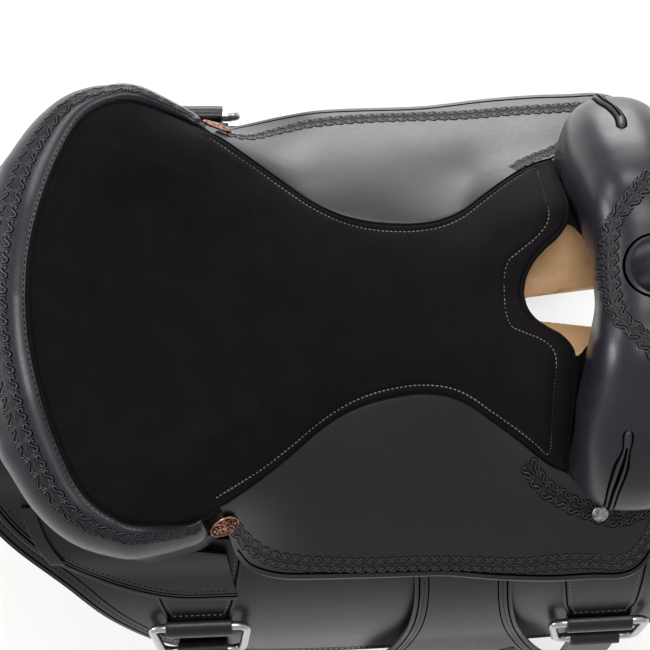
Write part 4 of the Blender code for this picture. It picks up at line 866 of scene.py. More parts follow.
class Relief:
    """Collects strokes and beads on one surface into a single mesh."""

    def __init__(self, surface: Surface, side: Side = Side.NEAR) -> None:
        """Starts an empty relief on a side's surface."""
        self.surface, self.side = surface, side
        self.vertices: list = []
        self.faces: list = []
        self.tones: list = []

    def add(self, spots: Array, lift: Array, tones: Sequence[float]) -> int:
        """Lays vertices on the surface.

        Args:
            spots: Their places in the surface's coordinates.
            lift: Their heights above it.
            tones: Their tones, 0 for painted shade in a groove and 1 for the leather's face.

        Returns:
            Number of the first of them.
        """
        first = len(self.vertices)
        points = flip(self.surface(spots[..., 0], spots[..., 1], lift), self.side)
        self.vertices += list(points.reshape(-1, 3))
        self.tones += list(tones)
        return first

    def stroke(self, line: Array, form: Stroke, scale: float = 1.0, taper: float = 0.0,
               widths: Optional[Array] = None) -> None:
        """Sweeps a stroke along a line given in the surface's own coordinates.

        Args:
            line: Points on the surface.
            form: The stroke's cross-section.
            scale: Width and height against the stroke's own.
            taper: Share of the line at each end over which the stroke narrows.
            widths: Share of the full width at each point, where taper isn't enough.
        """
        share = np.linspace(0, 1, len(line))
        fade = np.ones(len(line)) if not taper else np.clip(np.minimum(share, 1 - share) / taper, 0.18, 1)
        fade = fade if widths is None else widths
        offsets, lifts = np.array(form.offsets) * scale, np.array(form.lifts) * scale
        spots = line[:, None] + normals_2d(line)[:, None] * offsets[None, :, None] * fade[:, None, None]
        lift = lifts[None] * np.where(lifts[None] > 0, fade[:, None], 1.0)
        base, count = self.add(spots, lift, np.tile(form.tones, len(line))), len(offsets)
        for row in range(len(line) - 1):
            for column in range(count - 1):
                corner = base + row * count + column
                face = corner, corner + count, corner + count + 1, corner + 1
                self.faces.append(face[::int(self.side.value)])

    def bead(self, at: Array, radius: float, height: float, sides: int = 6) -> None:
        """Small dome with a ring round it toned dark as painted shade.

        Args:
            at: Its middle in the surface's coordinates.
            radius: Its radius.
            height: Its height.
            sides: Number of its sides.
        """
        ways = [np.array((math.cos(turn), math.sin(turn)))
                for turn in np.linspace(0, 2 * math.pi, sides, endpoint=False)]
        rings = ((1.5, -0.2, 0.1), (1.05, 0.1, 0.0), (0.6, 0.75 * height, 0.9))
        spots = [at + radius * reach * way for reach, _, _ in rings for way in ways] + [at]
        lift = [level for _, level, _ in rings for _ in ways] + [height]
        low = self.add(np.array(spots), np.array(lift), [tone for _, _, tone in rings for _ in ways] + [1.0])
        top, order = low + 3 * sides, -int(self.side.value)
        for ring in (low, low + sides):
            for one, step in ((index, (index + 1) % sides) for index in range(sides)):
                self.faces.append((ring + one, ring + sides + one, ring + sides + step, ring + step)[::order])
        for index in range(sides):
            ring = low + 2 * sides
            self.faces.append((ring + index, top, ring + (index + 1) % sides)[::order])

    def scrolls(self, line: Array, pitch: float, width: float, scale: float, ground: float) -> None:
        """Lays pairs of mirrored S-scrolls with leaf marks between them on a matted ground.

        Args:
            line: Middle of the band in the surface's coordinates.
            pitch: Distance between scrolls in millimetres.
            width: Distance between the middles of the two rows.
            scale: Size of a scroll against its full size.
            ground: Tone of the matted ground between the scrolls, below 1 as painted shade round them.
        """
        length, across = run_along(line), normals_2d(line)
        count = max(1, int(length[-1] // pitch))
        lobe = ((1.45, -1.5), (2.7, -1.9), (4.35, -0.95), (4.17, 0.85), (2.7, 1.3), (1.92, 0.45))
        curl = curve([(-x, -y) for x, y in lobe[::-1]] + [(0, 0)] + list(lobe), 29) * scale
        leaf = np.linspace(0, 1, 5)

        def place(along: Array, aside: Array) -> Array:
            """Points at a length along the band and a distance to its side."""
            return points_at(along, length, line) + points_at(along, length, across) * aside[..., None]

        run = np.linspace(0, length[-1], count * 8 + 1)
        # The matted ground under the scrolls is toned darker than the face as painted shade, with a scalloped
        # edge.
        mat = Stroke(tuple(np.linspace(-1, 1, 13) * (width / 2 + 2.5 * scale)),
                     (-0.3,) + (0.09,) * 11 + (-0.3,), (1.0,) + (ground,) * 11 + (1.0,))
        self.stroke(place(run, 0 * run), mat, widths=1 + 0.07 * np.cos(4 * math.pi * count * run / run[-1]))
        for index in range(count):
            middle, joint = (index + 0.5) * length[-1] / count, (index + 1.0) * length[-1] / count
            self.stroke(place(middle + (leaf - 0.5) * 8.0 * scale, 0 * leaf), SCROLL, 0.62 * scale, 0.45)
            for row in (-1, 1):
                points = place(middle + curl[:, 0], (curl[:, 1] + width / 2) * row)
                self.stroke(points, SCROLL, 0.85 * scale, 0.08)
                for lean in (-1, 0, 1) if index < count - 1 else ():
                    reach = width * (0.86 if lean == 0 else 0.7)
                    self.stroke(place(joint + lean * (0.4 + 2.6 * leaf) * scale, row * (0.6 + reach * leaf)),
                                SCROLL, 0.6 * scale, 0.35)

    def make(self, name: str, finish: Finish, body: Optional[str] = "saddle", *stands_for: str) -> Piece:
        """The collected relief as one finished piece.

        Args:
            name: Name of the piece.
            finish: Its finish.
            body: CAD body that carries it, if any yet.
            stands_for: CAD nodes that it replaces.

        Returns:
            The piece.
        """
        mesh = bpy.data.meshes.new(name)
        mesh.from_pydata([tuple(v) for v in np.array(self.vertices) * MM], [],
                         [tuple(int(i) for i in f) for f in self.faces])
        tone = mesh.attributes.new("tone", "FLOAT", "POINT")
        tone.data.foreach_set("value", np.array(self.tones, np.float32))
        for polygon in mesh.polygons:
            polygon.use_smooth = True
        piece = bpy.data.objects.new(name, mesh)
        bpy.context.scene.collection.objects.link(piece)
        return dress(piece, finish, body, *stands_for)


@dataclass(frozen=True)
class Seam:
    """One kind of stitching: its thread and its stitches' measures in millimetres."""

    finish: Nap
    pitch: float = 4.4
    length: float = 2.8
    width: float = 1.0
    height: float = 0.45

    def sew(self, name: str, line: Array, surface: Surface, side: Side = Side.NEAR,
            body: Optional[str] = "saddle") -> Piece:
        """Row of single stitches along a line on a surface.

        Args:
            name: Name of the piece.
            line: Points in the surface's coordinates.
            surface: Surface that carries the thread.
            side: Side of the horse.
            body: CAD body it rides on, if any yet.

        Returns:
            The row as one piece.
        """
        run = run_along(surface(line[:, 0], line[:, 1], 0 * line[:, 0]))
        count = int(run[-1] // self.pitch)
        row = Relief(surface, side)
        form = Stroke((-self.width / 2, 0.0, self.width / 2), (-0.15, self.height, -0.15), (1.0,) * 3)
        for index in range(count):
            at = (index + 0.5) * run[-1] / count + np.linspace(-self.length / 2, self.length / 2, 4)
            row.stroke(points_at(at, run, line), form, taper=0.3)
        return row.make(name, self.finish, body)


PAD_SEAM = Seam(THREAD_GREY, 3.3, 2.4, 0.85)
RIG_SEAM = Seam(THREAD_GREY)
EDGE_SEAM = Seam(THREAD_BLACK)
SKIRT_SEAM = Seam(THREAD_BLACK, 4.6, 3.0)


@dataclass
class Concho:
    """Round ornament with a rope rim, crossing petals and beads on a dark ground."""

    at: tuple
    radius: float
    height: float
    petals: int
    bright: Metal
    dark: Metal
    rim: float = 1.2
    skirt: float = 1.4

    def __post_init__(self) -> None:
        """Finds the plane of the leather under the concho."""
        self.normal = SEAT.normal(*self.at)
        first = np.cross((0.0, 1.0, 0.0), self.normal)
        self.first = first / np.linalg.norm(first)
        self.second = np.cross(self.normal, self.first)
        self.foot = SEAT.skin(np.array(self.at[0]), np.array(self.at[1]), np.array(0.2))

    def dome(self, u: Array, v: Array, lift: Array) -> Array:
        """Points on the concho's face at U, V from its middle."""
        u, v, lift = np.broadcast_arrays(u, v, lift)
        round_off = np.sqrt(np.clip(1 - (u ** 2 + v ** 2) / (self.radius * 1.25) ** 2, 0, 1))
        rise = self.rim + (self.height - self.rim) * round_off
        return (self.foot + u[..., None] * self.first + v[..., None] * self.second
                + (rise + lift)[..., None] * self.normal)

    def build(self, node_name: str, side: Side, body: Optional[str] = None) -> list[Piece]:
        """The concho's relief and its ground.

        Args:
            node_name: CAD node that it replaces.
            side: Side of the horse.
            body: CAD body that carries it, if any yet.

        Returns:
            The two pieces.
        """
        radius, name = self.radius, node_name + "_face"
        rings = np.linspace(0.02, 1.0, 8) * radius
        turns = np.linspace(0, 2 * math.pi, 41)
        plate = self.dome(rings[:, None] * np.cos(turns), rings[:, None] * np.sin(turns), 0 * rings[:, None])
        plate = np.vstack((plate, plate[-1:] - self.normal * self.skirt))
        ground = grid_piece(name + "_ground", flip(plate, side))
        edit(ground, (bpy.ops.mesh.remove_doubles, {"threshold": 0.01 * MM}),
             (bpy.ops.mesh.fill_holes, {"sides": 0}),
             (bpy.ops.mesh.normals_make_consistent, {"inside": False}))
        relief = Relief(self.dome, side)
        relief.stroke(np.stack((np.cos(turns), np.sin(turns)), -1) * radius * 0.95, ROPE, 0.9)
        share = np.linspace(0, 1, 9)[:, None]
        for index in range(self.petals):
            turn, beside = (2 * math.pi * (index + half) / self.petals for half in (0.0, 0.5))
            way = np.array((math.cos(turn), math.sin(turn)))
            aside = np.array((-way[1], way[0]))
            for lean in (-1, 1):
                arc = way * share * radius * 0.86 + aside * lean * np.sin(share * math.pi) * radius * 0.26
                relief.stroke(arc, ROPE, radius / 15, taper=0.2)
            relief.bead(np.array((math.cos(beside), math.sin(beside))) * radius * 0.72, radius * 0.1, 0.8)
            relief.bead(way * radius * 0.45, radius * 0.06, 0.8)
        relief.bead(np.zeros(2), radius * 0.16, 1.1, sides=10)
        dress(ground, self.dark, body, node_name)
        return [relief.make(name, self.bright, body, node_name), ground]


# Seat


def fill_patch(rear: Array, front: Array, off: Array, near: Array) -> Array:
    """Grid of plan points between four outline curves."""
    along = np.linspace(0, 1, len(near))[:, None, None]
    across = np.linspace(0, 1, len(rear))[None, :, None]
    ruled = rear[None] * (1 - along) + front[None] * along
    sided = off[:, None] * (1 - across) + near[:, None] * across
    corners = (rear[0] * (1 - along) * (1 - across) + rear[-1] * (1 - along) * across
               + front[0] * along * (1 - across) + front[-1] * along * across)
    return ruled + sided - corners


def apart_from(x: Array, y: Array, line: Array) -> Array:
    """Distance of plan points, folded to the near side, from the nearest point of a line.

    Args:
        x: Places along the horse.
        y: Places across it.
        line: Points of the line.

    Returns:
        The distances.
    """
    flat = np.stack((x, np.abs(y)), -1).reshape(-1, 2)
    best = np.full(len(flat), 1e9)
    for start, end in zip(line[:-1], line[1:]):
        way = end - start
        share = np.clip(((flat - start) @ way) / max(float(way @ way), 1e-9), 0, 1)
        best = np.minimum(best, np.linalg.norm(flat - start - share[:, None] * way, axis=1))
    return best.reshape(np.shape(x))


def coordinates(piece: Piece) -> Array:
    """Places of a piece's vertices, in metres."""
    places = np.empty(len(piece.data.vertices) * 3)
    piece.data.vertices.foreach_get("co", places)
    return places.reshape(-1, 3)


@dataclass
class SeatPad:
    """Suede-covered foam seat with its sewn channel, piping and grey thread."""

    rows: int = 150
    columns: int = 121
    thickness: float = 8.0
    crown: float = 2.0
    crown_reach: float = 46.0
    edge_drop: float = 2.2
    edge_width: float = 3.2
    channel: float = 1.5
    channel_width: float = 1.8
    wave: float = 0.35
    voxel: float = 5.0
    pressure: float = 4.0
    steps: int = 20
    held_rim: float = 3.0
    cap: float = 2.4
    cap_reach: float = 24.0
    seam: tuple = ((-96, 137.5), (-86, 131), (-62, 115), (-40, 98), (-20, 82.5), (0, 70.5), (20, 63),
                   (40, 59.3), (58, 58.5), (76, 61), (92, 68), (108, 80), (124, 92), (140, 104), (147, 109.5),
                   (149.8, 106), (149.7, 91.2), (150.6, 66.5), (151.5, 54.1), (148.9, 45.2), (140.9, 37.0),
                   (128.8, 29.3), (121.6, 23.4), (118.6, 11.0), (118.6, 0))

    def lift(self, x: Array, y: Array) -> Array:
        """Height of the pad's face over the seat surface: crown, turned edge and drawn-in seam."""
        edge = apart_from(x, y, SEAT.pad_outline(60))
        seam = apart_from(x, y, curve(self.seam, 160))
        lift = (self.crown * smooth(edge / self.crown_reach)
                - self.edge_drop * (1 - smooth(edge / self.edge_width)) ** 2)
        lift = lift - self.channel * np.exp(-(seam / self.channel_width) ** 2)
        return lift + self.wave * np.sin(x * 0.045 + 1.3) * np.cos(y * 0.05) * smooth(edge / 30)

    def build(self) -> list[Piece]:
        """Crowned foam form whose edge turns down and whose seam is drawn in, with its thread and binding."""
        made = [self.cushion()] + self.sew()
        self.inflate(made[0], made)
        for piece in made:
            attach(piece, "saddle")
        return made

    def cushion(self) -> Piece:
        """The pad's closed form."""
        half = (self.columns + 1) // 2
        near = curve(SEAT.waist, self.rows)
        plan = fill_patch(mirrored(curve(SEAT.rear, half)), mirrored(curve(SEAT.front, half)),
                          near * (1, -1), near)
        x, y = plan[..., 0], plan[..., 1]
        grids = SEAT.skin(x, y, self.lift(x, y)), SEAT.skin(x, y, 0 * x - self.thickness)
        return sheet("suede_seat_pad", "seat_pad", grids, Side.NEAR, SUEDE, None, 0.9)

    def face(self, x: Array, y: Array, lift: Array) -> Array:
        """The pad's surface, which thread lies on."""
        return SEAT.skin(x, y, lift + self.lift(x, y) + 0.15)

    def sew(self) -> list[Piece]:
        """Grey thread along the seam on both sides, and a smooth binding that closes the pad's rim."""
        line = mirrored(curve(self.seam, 260)[::-1])
        thread = PAD_SEAM.sew("seat_pad_thread", line, self.face, body=None)
        binding = Relief(SEAT.skin)
        for side in (1, -1):
            binding.stroke(inset(SEAT.pad_outline(140) * (1, side), -0.5 * side), BINDING)
        return [thread, binding.make("seat_pad_binding", SUEDE, None)]

    def swelled(self, cushion: Piece) -> tuple[Array, Array]:
        """Lets a remeshed copy of the pad swell as cloth, with its rim and underside held.

        Args:
            cushion: The pad, whose copy is simulated.

        Returns:
            The copy's vertices at rest and how far each moved, in millimetres.
        """
        scene = bpy.context.scene
        copy = cushion.copy()
        copy.data = cushion.data.copy()
        scene.collection.objects.link(copy)
        only(copy)
        copy.data.remesh_voxel_size = self.voxel * MM
        bpy.ops.object.voxel_remesh()
        start = coordinates(copy) / MM
        over = start[:, 2] - SEAT.height(start[:, 0], start[:, 1])
        rim = apart_from(start[:, 0], start[:, 1], SEAT.pad_outline(60))
        held = copy.vertex_groups.new(name="held")
        fixed = np.nonzero((over < -self.held_rim) | (rim < self.held_rim))[0]
        held.add([int(i) for i in fixed], 1.0, "REPLACE")
        cloth = copy.modifiers.new("Cloth", "CLOTH").settings
        cloth.quality = 4
        cloth.mass = 0.3
        cloth.vertex_group_mass = held.name
        cloth.use_pressure = True
        cloth.uniform_pressure_force = self.pressure
        cloth.effector_weights.gravity = 0.0
        for frame in range(1, self.steps + 1):
            scene.frame_set(frame)
        settled = copy.evaluated_get(bpy.context.evaluated_depsgraph_get())
        moved = coordinates(settled) / MM - start
        scene.frame_set(1)
        bpy.data.objects.remove(copy)
        length = np.linalg.norm(moved, axis=1)
        LOG.info("seat pad swelled at most %.2f mm", length.max())
        limit = self.cap * smooth(rim / self.cap_reach)
        return start, moved * np.minimum(1.0, limit / np.maximum(length, 1e-6))[:, None]

    def inflate(self, cushion: Piece, pieces: Sequence[Piece]) -> None:
        """Moves the pad and all that is sewn to it as its copy moved when it swelled.

        Args:
            cushion: The pad.
            pieces: The pad, its thread and its binding.
        """
        start, moved = self.swelled(cushion)
        tree = KDTree(len(start))
        for index, point in enumerate(start):
            tree.insert(point, index)
        tree.balance()
        for piece in pieces:
            places = coordinates(piece)
            for row, place in enumerate(places / MM):
                near = tree.find_n(place, 5)
                weights = np.array([1.0 / (far + 0.5) ** 2 for _, _, far in near])
                shift = weights @ moved[[index for _, index, _ in near]] / weights.sum()
                places[row] += shift * MM
            piece.data.vertices.foreach_set("co", places.ravel())
            piece.data.update()


@dataclass
class SeatJockeys:
    """Broad smooth panels beside the seat with stamped borders and ornaments."""

    thickness: float = 4.5
    rows: int = 150
    columns: int = 44
    rear_x: float = -93.0
    outer: tuple = ((-86, 168), (-76, 177), (-54, 183.5), (-20, 186), (20, 186.5), (67, 186.5), (91, 188.5),
                    (115, 191), (152, 193), (182, 192.5), (206, 192.5), (221, 186), (232, 170), (240, 146))
    inner_front: tuple = ((162, 121.5), (171, 128), (182, 133), (200, 135), (218, 133), (236, 126))
    border_off: tuple = ((-84, 153), (-75, 162), (-60, 170), (-42, 174), (-24, 176.5), (10, 178.6),
                         (50, 178.4), (90, 179.8), (110, 181.3), (130, 182), (150, 181), (170, 180.2),
                         (188, 181), (205, 182), (218, 175.5), (227.5, 161.5), (232, 148))
    border_near: tuple = ((-84, 149), (-70, 152), (-60, 158), (-50, 163.5), (-36, 167.5), (-20, 170.5),
                          (20, 173.5), (60, 174), (100, 173.5), (140, 175.5), (170, 176.5), (188, 177.5),
                          (205, 177.5), (217, 172), (226, 160), (231, 148))
    corner_off: tuple = ((133, 114), (140, 124), (147.5, 131.5), (158, 137.5), (169, 143), (180.5, 146.5),
                         (192, 150.5), (203, 151.5), (214.5, 148.5), (225.5, 143))
    corner_near: tuple = ((132.5, 110), (138.5, 115.5), (146.5, 120.5), (154.5, 125), (162, 128.5),
                          (171, 134.5), (182, 141), (194, 145.5), (206, 146.5), (218, 145), (227, 140))
    border_scrolls: tuple = (8.0, 6.2, 0.78, 0.6)
    near_scrolls: tuple = (7.2, 5.2, 0.66, 0.6)
    off_scrolls: tuple = (10.0, 8.2, 0.9, 0.55)

    def build(self, side: Side) -> list[Piece]:
        """One panel with its stamped borders, edge crease and concho.

        Args:
            side: Side of the horse.

        Returns:
            The panel and what it carries.
        """
        waist = np.array(SEAT.waist, float)
        start = np.interp(self.rear_x, waist[:, 0], waist[:, 1])
        inner = [(self.rear_x, start + 0.8)] + [(x, y + 0.8) for x, y in waist if self.rear_x < x < 155]
        plan = between(curve(inner + list(self.inner_front), self.rows), curve(self.outer, self.rows),
                       self.columns)
        x, y = plan[..., 0], plan[..., 1]
        grids = SEAT.skin(x, y, 0 * x), SEAT.skin(x, y, 0 * x - self.thickness)
        panel = sheet("seat_jockey_panel_" + side.tag, "seat_jockey_" + side.tag, grids, side, SMOOTH,
                      None, 1.2)
        relief = Relief(SEAT.skin, side)
        near = side is Side.NEAR
        relief.scrolls(curve(self.border_near if near else self.border_off, 260), *self.border_scrolls)
        relief.scrolls(curve(self.corner_near if near else self.corner_off, 120),
                       *(self.near_scrolls if near else self.off_scrolls))
        relief.stroke(inset(curve(self.outer, 200), 3.4), CREASE)
        made = [panel, relief.make("seat_jockey_carving_" + side.tag, CARVED, None)]
        made += Concho((188.0, 148.0), 6.0, 2.4, 6, SILVER, SILVER).build("concho_front_" + side.tag, side)
        for piece in made:
            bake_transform(piece)
        return made


@dataclass
class CantleRoll:
    """Leather roll that turns out over the cantle, with two rows of stamped scrolls."""

    profile: tuple = ((0.6, -2.0), (3, 0.6), (9, 2.0), (17, -1.0), (25, -8.5), (31, -18), (34, -28),
                      (34.5, -36))
    thickness: float = 6.5
    stations: int = 241
    columns: int = 30
    widths: tuple = ((0, 1.3), (85, 1.3), (98, 1.29), (108, 1.22), (126, 1.13), (136, 1.05), (146, 0.96),
                     (158, 0.85), (174, 0.7), (192, 0.57), (210, 0.47), (222, 0.4), (231, 0.3))
    scrolls: tuple = (10.8, 9.6, 0.9, 0.7)
    scroll_line: float = 19.5
    scroll_reach: float = 0.985

    def __post_init__(self) -> None:
        """Measures the profile and the rim that it follows."""
        self.line = curve(self.profile, 60)
        ahead = np.gradient(self.line, axis=0)
        ahead /= np.linalg.norm(ahead, axis=1)[:, None]
        self.up = np.stack((-ahead[:, 1], ahead[:, 0]), -1)
        self.run = run_along(self.line)
        self.rim, self.way, _, self.level = SEAT.rim(401)
        steps = run_along(self.rim)
        self.arc = steps - steps[-1] / 2
        self.knots = curve(self.widths, 120)

    def width(self, arc: Array) -> Array:
        """How far the roll turns out, against its profile: most behind the seat, least at its ends."""
        return np.interp(np.abs(arc), self.knots[:, 0], self.knots[:, 1])

    def skin(self, arc: Array, along: Array, lift: Array) -> Array:
        """Points on the roll.

        Args:
            arc: Length along the rim from its middle.
            along: Length over the profile.
            lift: Height above the leather.

        Returns:
            The points.
        """
        arc, along, lift = np.broadcast_arrays(np.asarray(arc, float), along, lift)
        scale = self.width(arc)
        line, up = points_at(along, self.run, self.line), points_at(along, self.run, self.up)
        rim, way = points_at(arc, self.arc, self.rim), points_at(arc, self.arc, self.way)
        out = (line[..., 0] + lift * up[..., 0]) * scale
        rise = line[..., 1] * np.minimum(scale + 0.3, 1.0) + lift * up[..., 1]
        return np.stack((rim[..., 0] + way[..., 0] * out, rim[..., 1] + way[..., 1] * out,
                         np.interp(arc, self.arc, self.level) + rise), -1)

    def build(self) -> list[Piece]:
        """The roll, its stamping, its stitch line and the crease along its edge."""
        arc = np.linspace(self.arc[0], self.arc[-1], self.stations)[:, None]
        along = np.linspace(0, self.run[-1], self.columns)[None]
        grids = self.skin(arc, along, 0.0), self.skin(arc, along, -self.thickness + 0 * arc * along)
        roll = sheet("cantle_roll_leather", "cantle_roll", grids, Side.NEAR, ROLL)
        relief = Relief(self.skin)
        reach = self.arc[-1] * self.scroll_reach
        middle = np.linspace(-reach, reach, 500)
        relief.scrolls(np.stack((middle, 0 * middle + self.scroll_line), -1), *self.scrolls)
        edge = np.linspace(self.arc[0] + 3, self.arc[-1] - 3, 400)
        relief.stroke(np.stack((edge, 0 * edge + self.run[-1] - 3.5), -1), CREASE)
        carving = relief.make("cantle_roll_carving", CARVED)
        line = np.stack((edge, 4.0 / self.width(edge)), -1)
        return [roll, carving, EDGE_SEAM.sew("cantle_roll_thread", line, self.skin)]


# Swell and horn


@dataclass
class SwellCover:
    """Leather drawn over the fork, with a stamped band round the horn and a sewn dart at each side."""

    thickness: float = 3.0
    lip: float = 48.0
    band: tuple = ((243, 72), (232, 72), (219, 69), (212.5, 61), (204, 52), (195, 44), (190.5, 34),
                   (188.5, 20), (187.5, 0))
    scrolls: tuple = (10.4, 8.4, 0.9, 0.65)
    dart_near: tuple = ((205.5, 124), (205.5, 138), (201.5, 153), (196.5, 166.5), (195, 183), (195, 200))
    dart_off: tuple = ((198, 124), (197.5, 134), (196, 143.5), (192.5, 159.5), (189.5, 175.5), (188, 198))
    dart_run: tuple = (0, 0.5, 1.5, 3.5, 7, 11, 15, 19, 27, 34, 52, 80)
    even: tuple = (0.05, 0.5, 0.8, 0.92, 0.95, 0.95, 0.95, 0.95, 1.0, 1.0, 1.0, 1.0)
    looped: tuple = (0.05, 0.45, 0.72, 0.87, 0.87, 0.8, 0.7, 0.8, 1.15, 1.2, 1.0, 0.85)
    fold_start: float = 12.0

    def build(self) -> list[Piece]:
        """The cover, its welts and its stamped band."""
        angles = np.linspace(-SWELL.end, SWELL.end, 141)[:, None]
        turns = np.linspace(-self.lip, 180 + self.lip, 91)[None]
        grids = SWELL.skin(angles, turns, 0 * turns), SWELL.skin(angles, turns, self.thickness + 0 * turns)
        cover = sheet("swell_cover_leather", "swell_cover", grids, Side.NEAR, ROLL, edge=0.8)
        relief = Relief(SWELL.top)
        half = curve(self.band, 140)
        relief.scrolls(np.vstack((half[:-1], half[::-1] * (1, -1))), *self.scrolls)
        for dart, side, form in ((self.dart_near, 1, self.even), (self.dart_off, -1, self.looped)):
            line = curve(dart, 150) * (1, side)
            run = run_along(line)
            head = np.interp(run, self.dart_run, form)
            relief.stroke(line, WELT, widths=head)
            relief.stroke(line[run > self.fold_start], FOLD, widths=head[run > self.fold_start])
        return [cover, relief.make("swell_carving", CARVED)]


@dataclass
class Horn:
    """Leather-wrapped horn: neck with a base groove, sewn cap."""

    base_x: float = 220.0
    groove: float = 22.6

    def build(self) -> list[Piece]:
        """Neck, cap and the groove round the neck's foot."""
        made = [refined("horn_neck", "horn_neck_wrap", ROLL, "saddle", 0.0, 2),
                refined("horn_cap", "horn_cap_leather", ROLL, "saddle", 0.0, 2)]
        turns = np.linspace(0, 2 * math.pi, 60)
        x, y = self.base_x + self.groove * np.cos(turns), self.groove * np.sin(turns)
        arc = SWELL.radius * np.arctan2(y, SWELL.height(x, y) - SWELL.centre)
        relief = Relief(SWELL.top)
        # The groove's dark line is painted shade round the neck's foot.
        relief.stroke(np.stack((x, arc), -1), GROOVE)
        return made + [relief.make("horn_base_groove", CARVED)]


# Leather behind, under and beside the seat


@dataclass
class KeyholeLining:
    """Natural leather on both sides of the hand hole, and the felt above it."""

    thickness: float = 3.0
    pad_and_ground: float = 17.0
    rear_x: float = 124.0
    front_x: float = 192.0
    stations: int = 24
    lip_height: float = 58.0
    felt_lifts: tuple = (-11.2, -14.7)
    felt_end: float = 112.0
    fray: float = 0.7

    def path(self, x: float, reach: float) -> Array:
        """Section of the lining at X, from its lower edge over its lip to under the pad."""
        low = np.interp(x, (128.0, 188.0), (20.0, 45.0))
        lip = self.lip_height
        return curve(((19.5, low), (19.5, (low + 50) / 2), (19.0, 50), (reach + 2.5, lip - 2), (reach, lip),
                      (reach + 2.5, lip + 1.5), (24, 63), (32, 68), (41, 75), (49, 84), (56, 93)), 44)

    def build(self, side: Side) -> list[Piece]:
        """The lining, whose lip turns into the hole, and the felt above it.

        Args:
            side: Side of the horse.

        Returns:
            The two pieces.
        """
        x = np.linspace(self.rear_x, self.front_x, self.stations)
        lip = np.interp(x, (124.0, 138.0, 190.0), (7.0, 8.5, 16.0))
        grids = []
        for outer in (0.0, 1.0):
            columns = []
            for at, reach in zip(x, lip):
                path = self.path(at, reach)
                apart = np.hypot(path[:, 0] - reach, path[:, 1] - self.lip_height)
                thick = outer * self.thickness * np.clip(apart / 10, 0.1, 1)
                path = path + normals_2d(path) * thick[:, None]
                level = np.full(len(path), at)
                roof = SEAT.height(level, path[:, 0]) - self.pad_and_ground - self.thickness * (1 - outer)
                columns.append(np.stack((level, path[:, 0], np.minimum(path[:, 1], roof)), -1))
            grids.append(np.array(columns).transpose(1, 0, 2))
            for row in grids[-1]:
                y, z = row[:, 1].mean(), row[:, 2].mean()
                share = float(smooth((z - self.lip_height) / 12.0))
                swell = min(SWELL.rear_x(y, max(z, 66.5)) + 2.0, self.front_x)
                row[:, 0] = np.linspace(self.rear_x, self.front_x * (1 - share) + swell * share,
                                        self.stations)
        lining = sheet("keyhole_leather_" + side.tag, "keyhole_lining_" + side.tag, grids, side, NATURAL,
                       edge=0.3)
        return [lining, self.felt(side)]

    def felt(self, side: Side) -> Piece:
        """Rough felt in the step between the pad's front edge and the swell.

        Args:
            side: Side of the horse.

        Returns:
            The felt.
        """
        noise = np.random.default_rng(7)
        torn = np.cumsum(noise.normal(0.0, self.fray, 30))
        torn -= np.linspace(torn[0], torn[-1], 30)
        x = np.linspace(150.0, 186.0, 30)
        grids = []
        for lift in self.felt_lifts:
            rows = []
            for share in np.linspace(0, 1, 60):
                inner = np.interp(x, (150, 165, 174, 184), (52.0, 47.5, 42.0, 37.5)) + torn * (1 - share) ** 4
                y = inner + (self.felt_end - inner) * share
                level = SEAT.height(np.minimum(x, 158.0), y) - 8.0
                limit = np.array([SWELL.rear_x(out, high) for out, high in zip(y, level)]) + 1.0
                rows.append(SEAT.skin(np.minimum(x, limit), y, np.full(30, lift)))
            grids.append(np.array(rows))
        grids[0][..., 2] += noise.normal(0.0, 0.5, grids[0].shape[:2])
        return sheet("felt_filler_" + side.tag, "front_filler_" + side.tag, grids, side, FELT, edge=0.0)


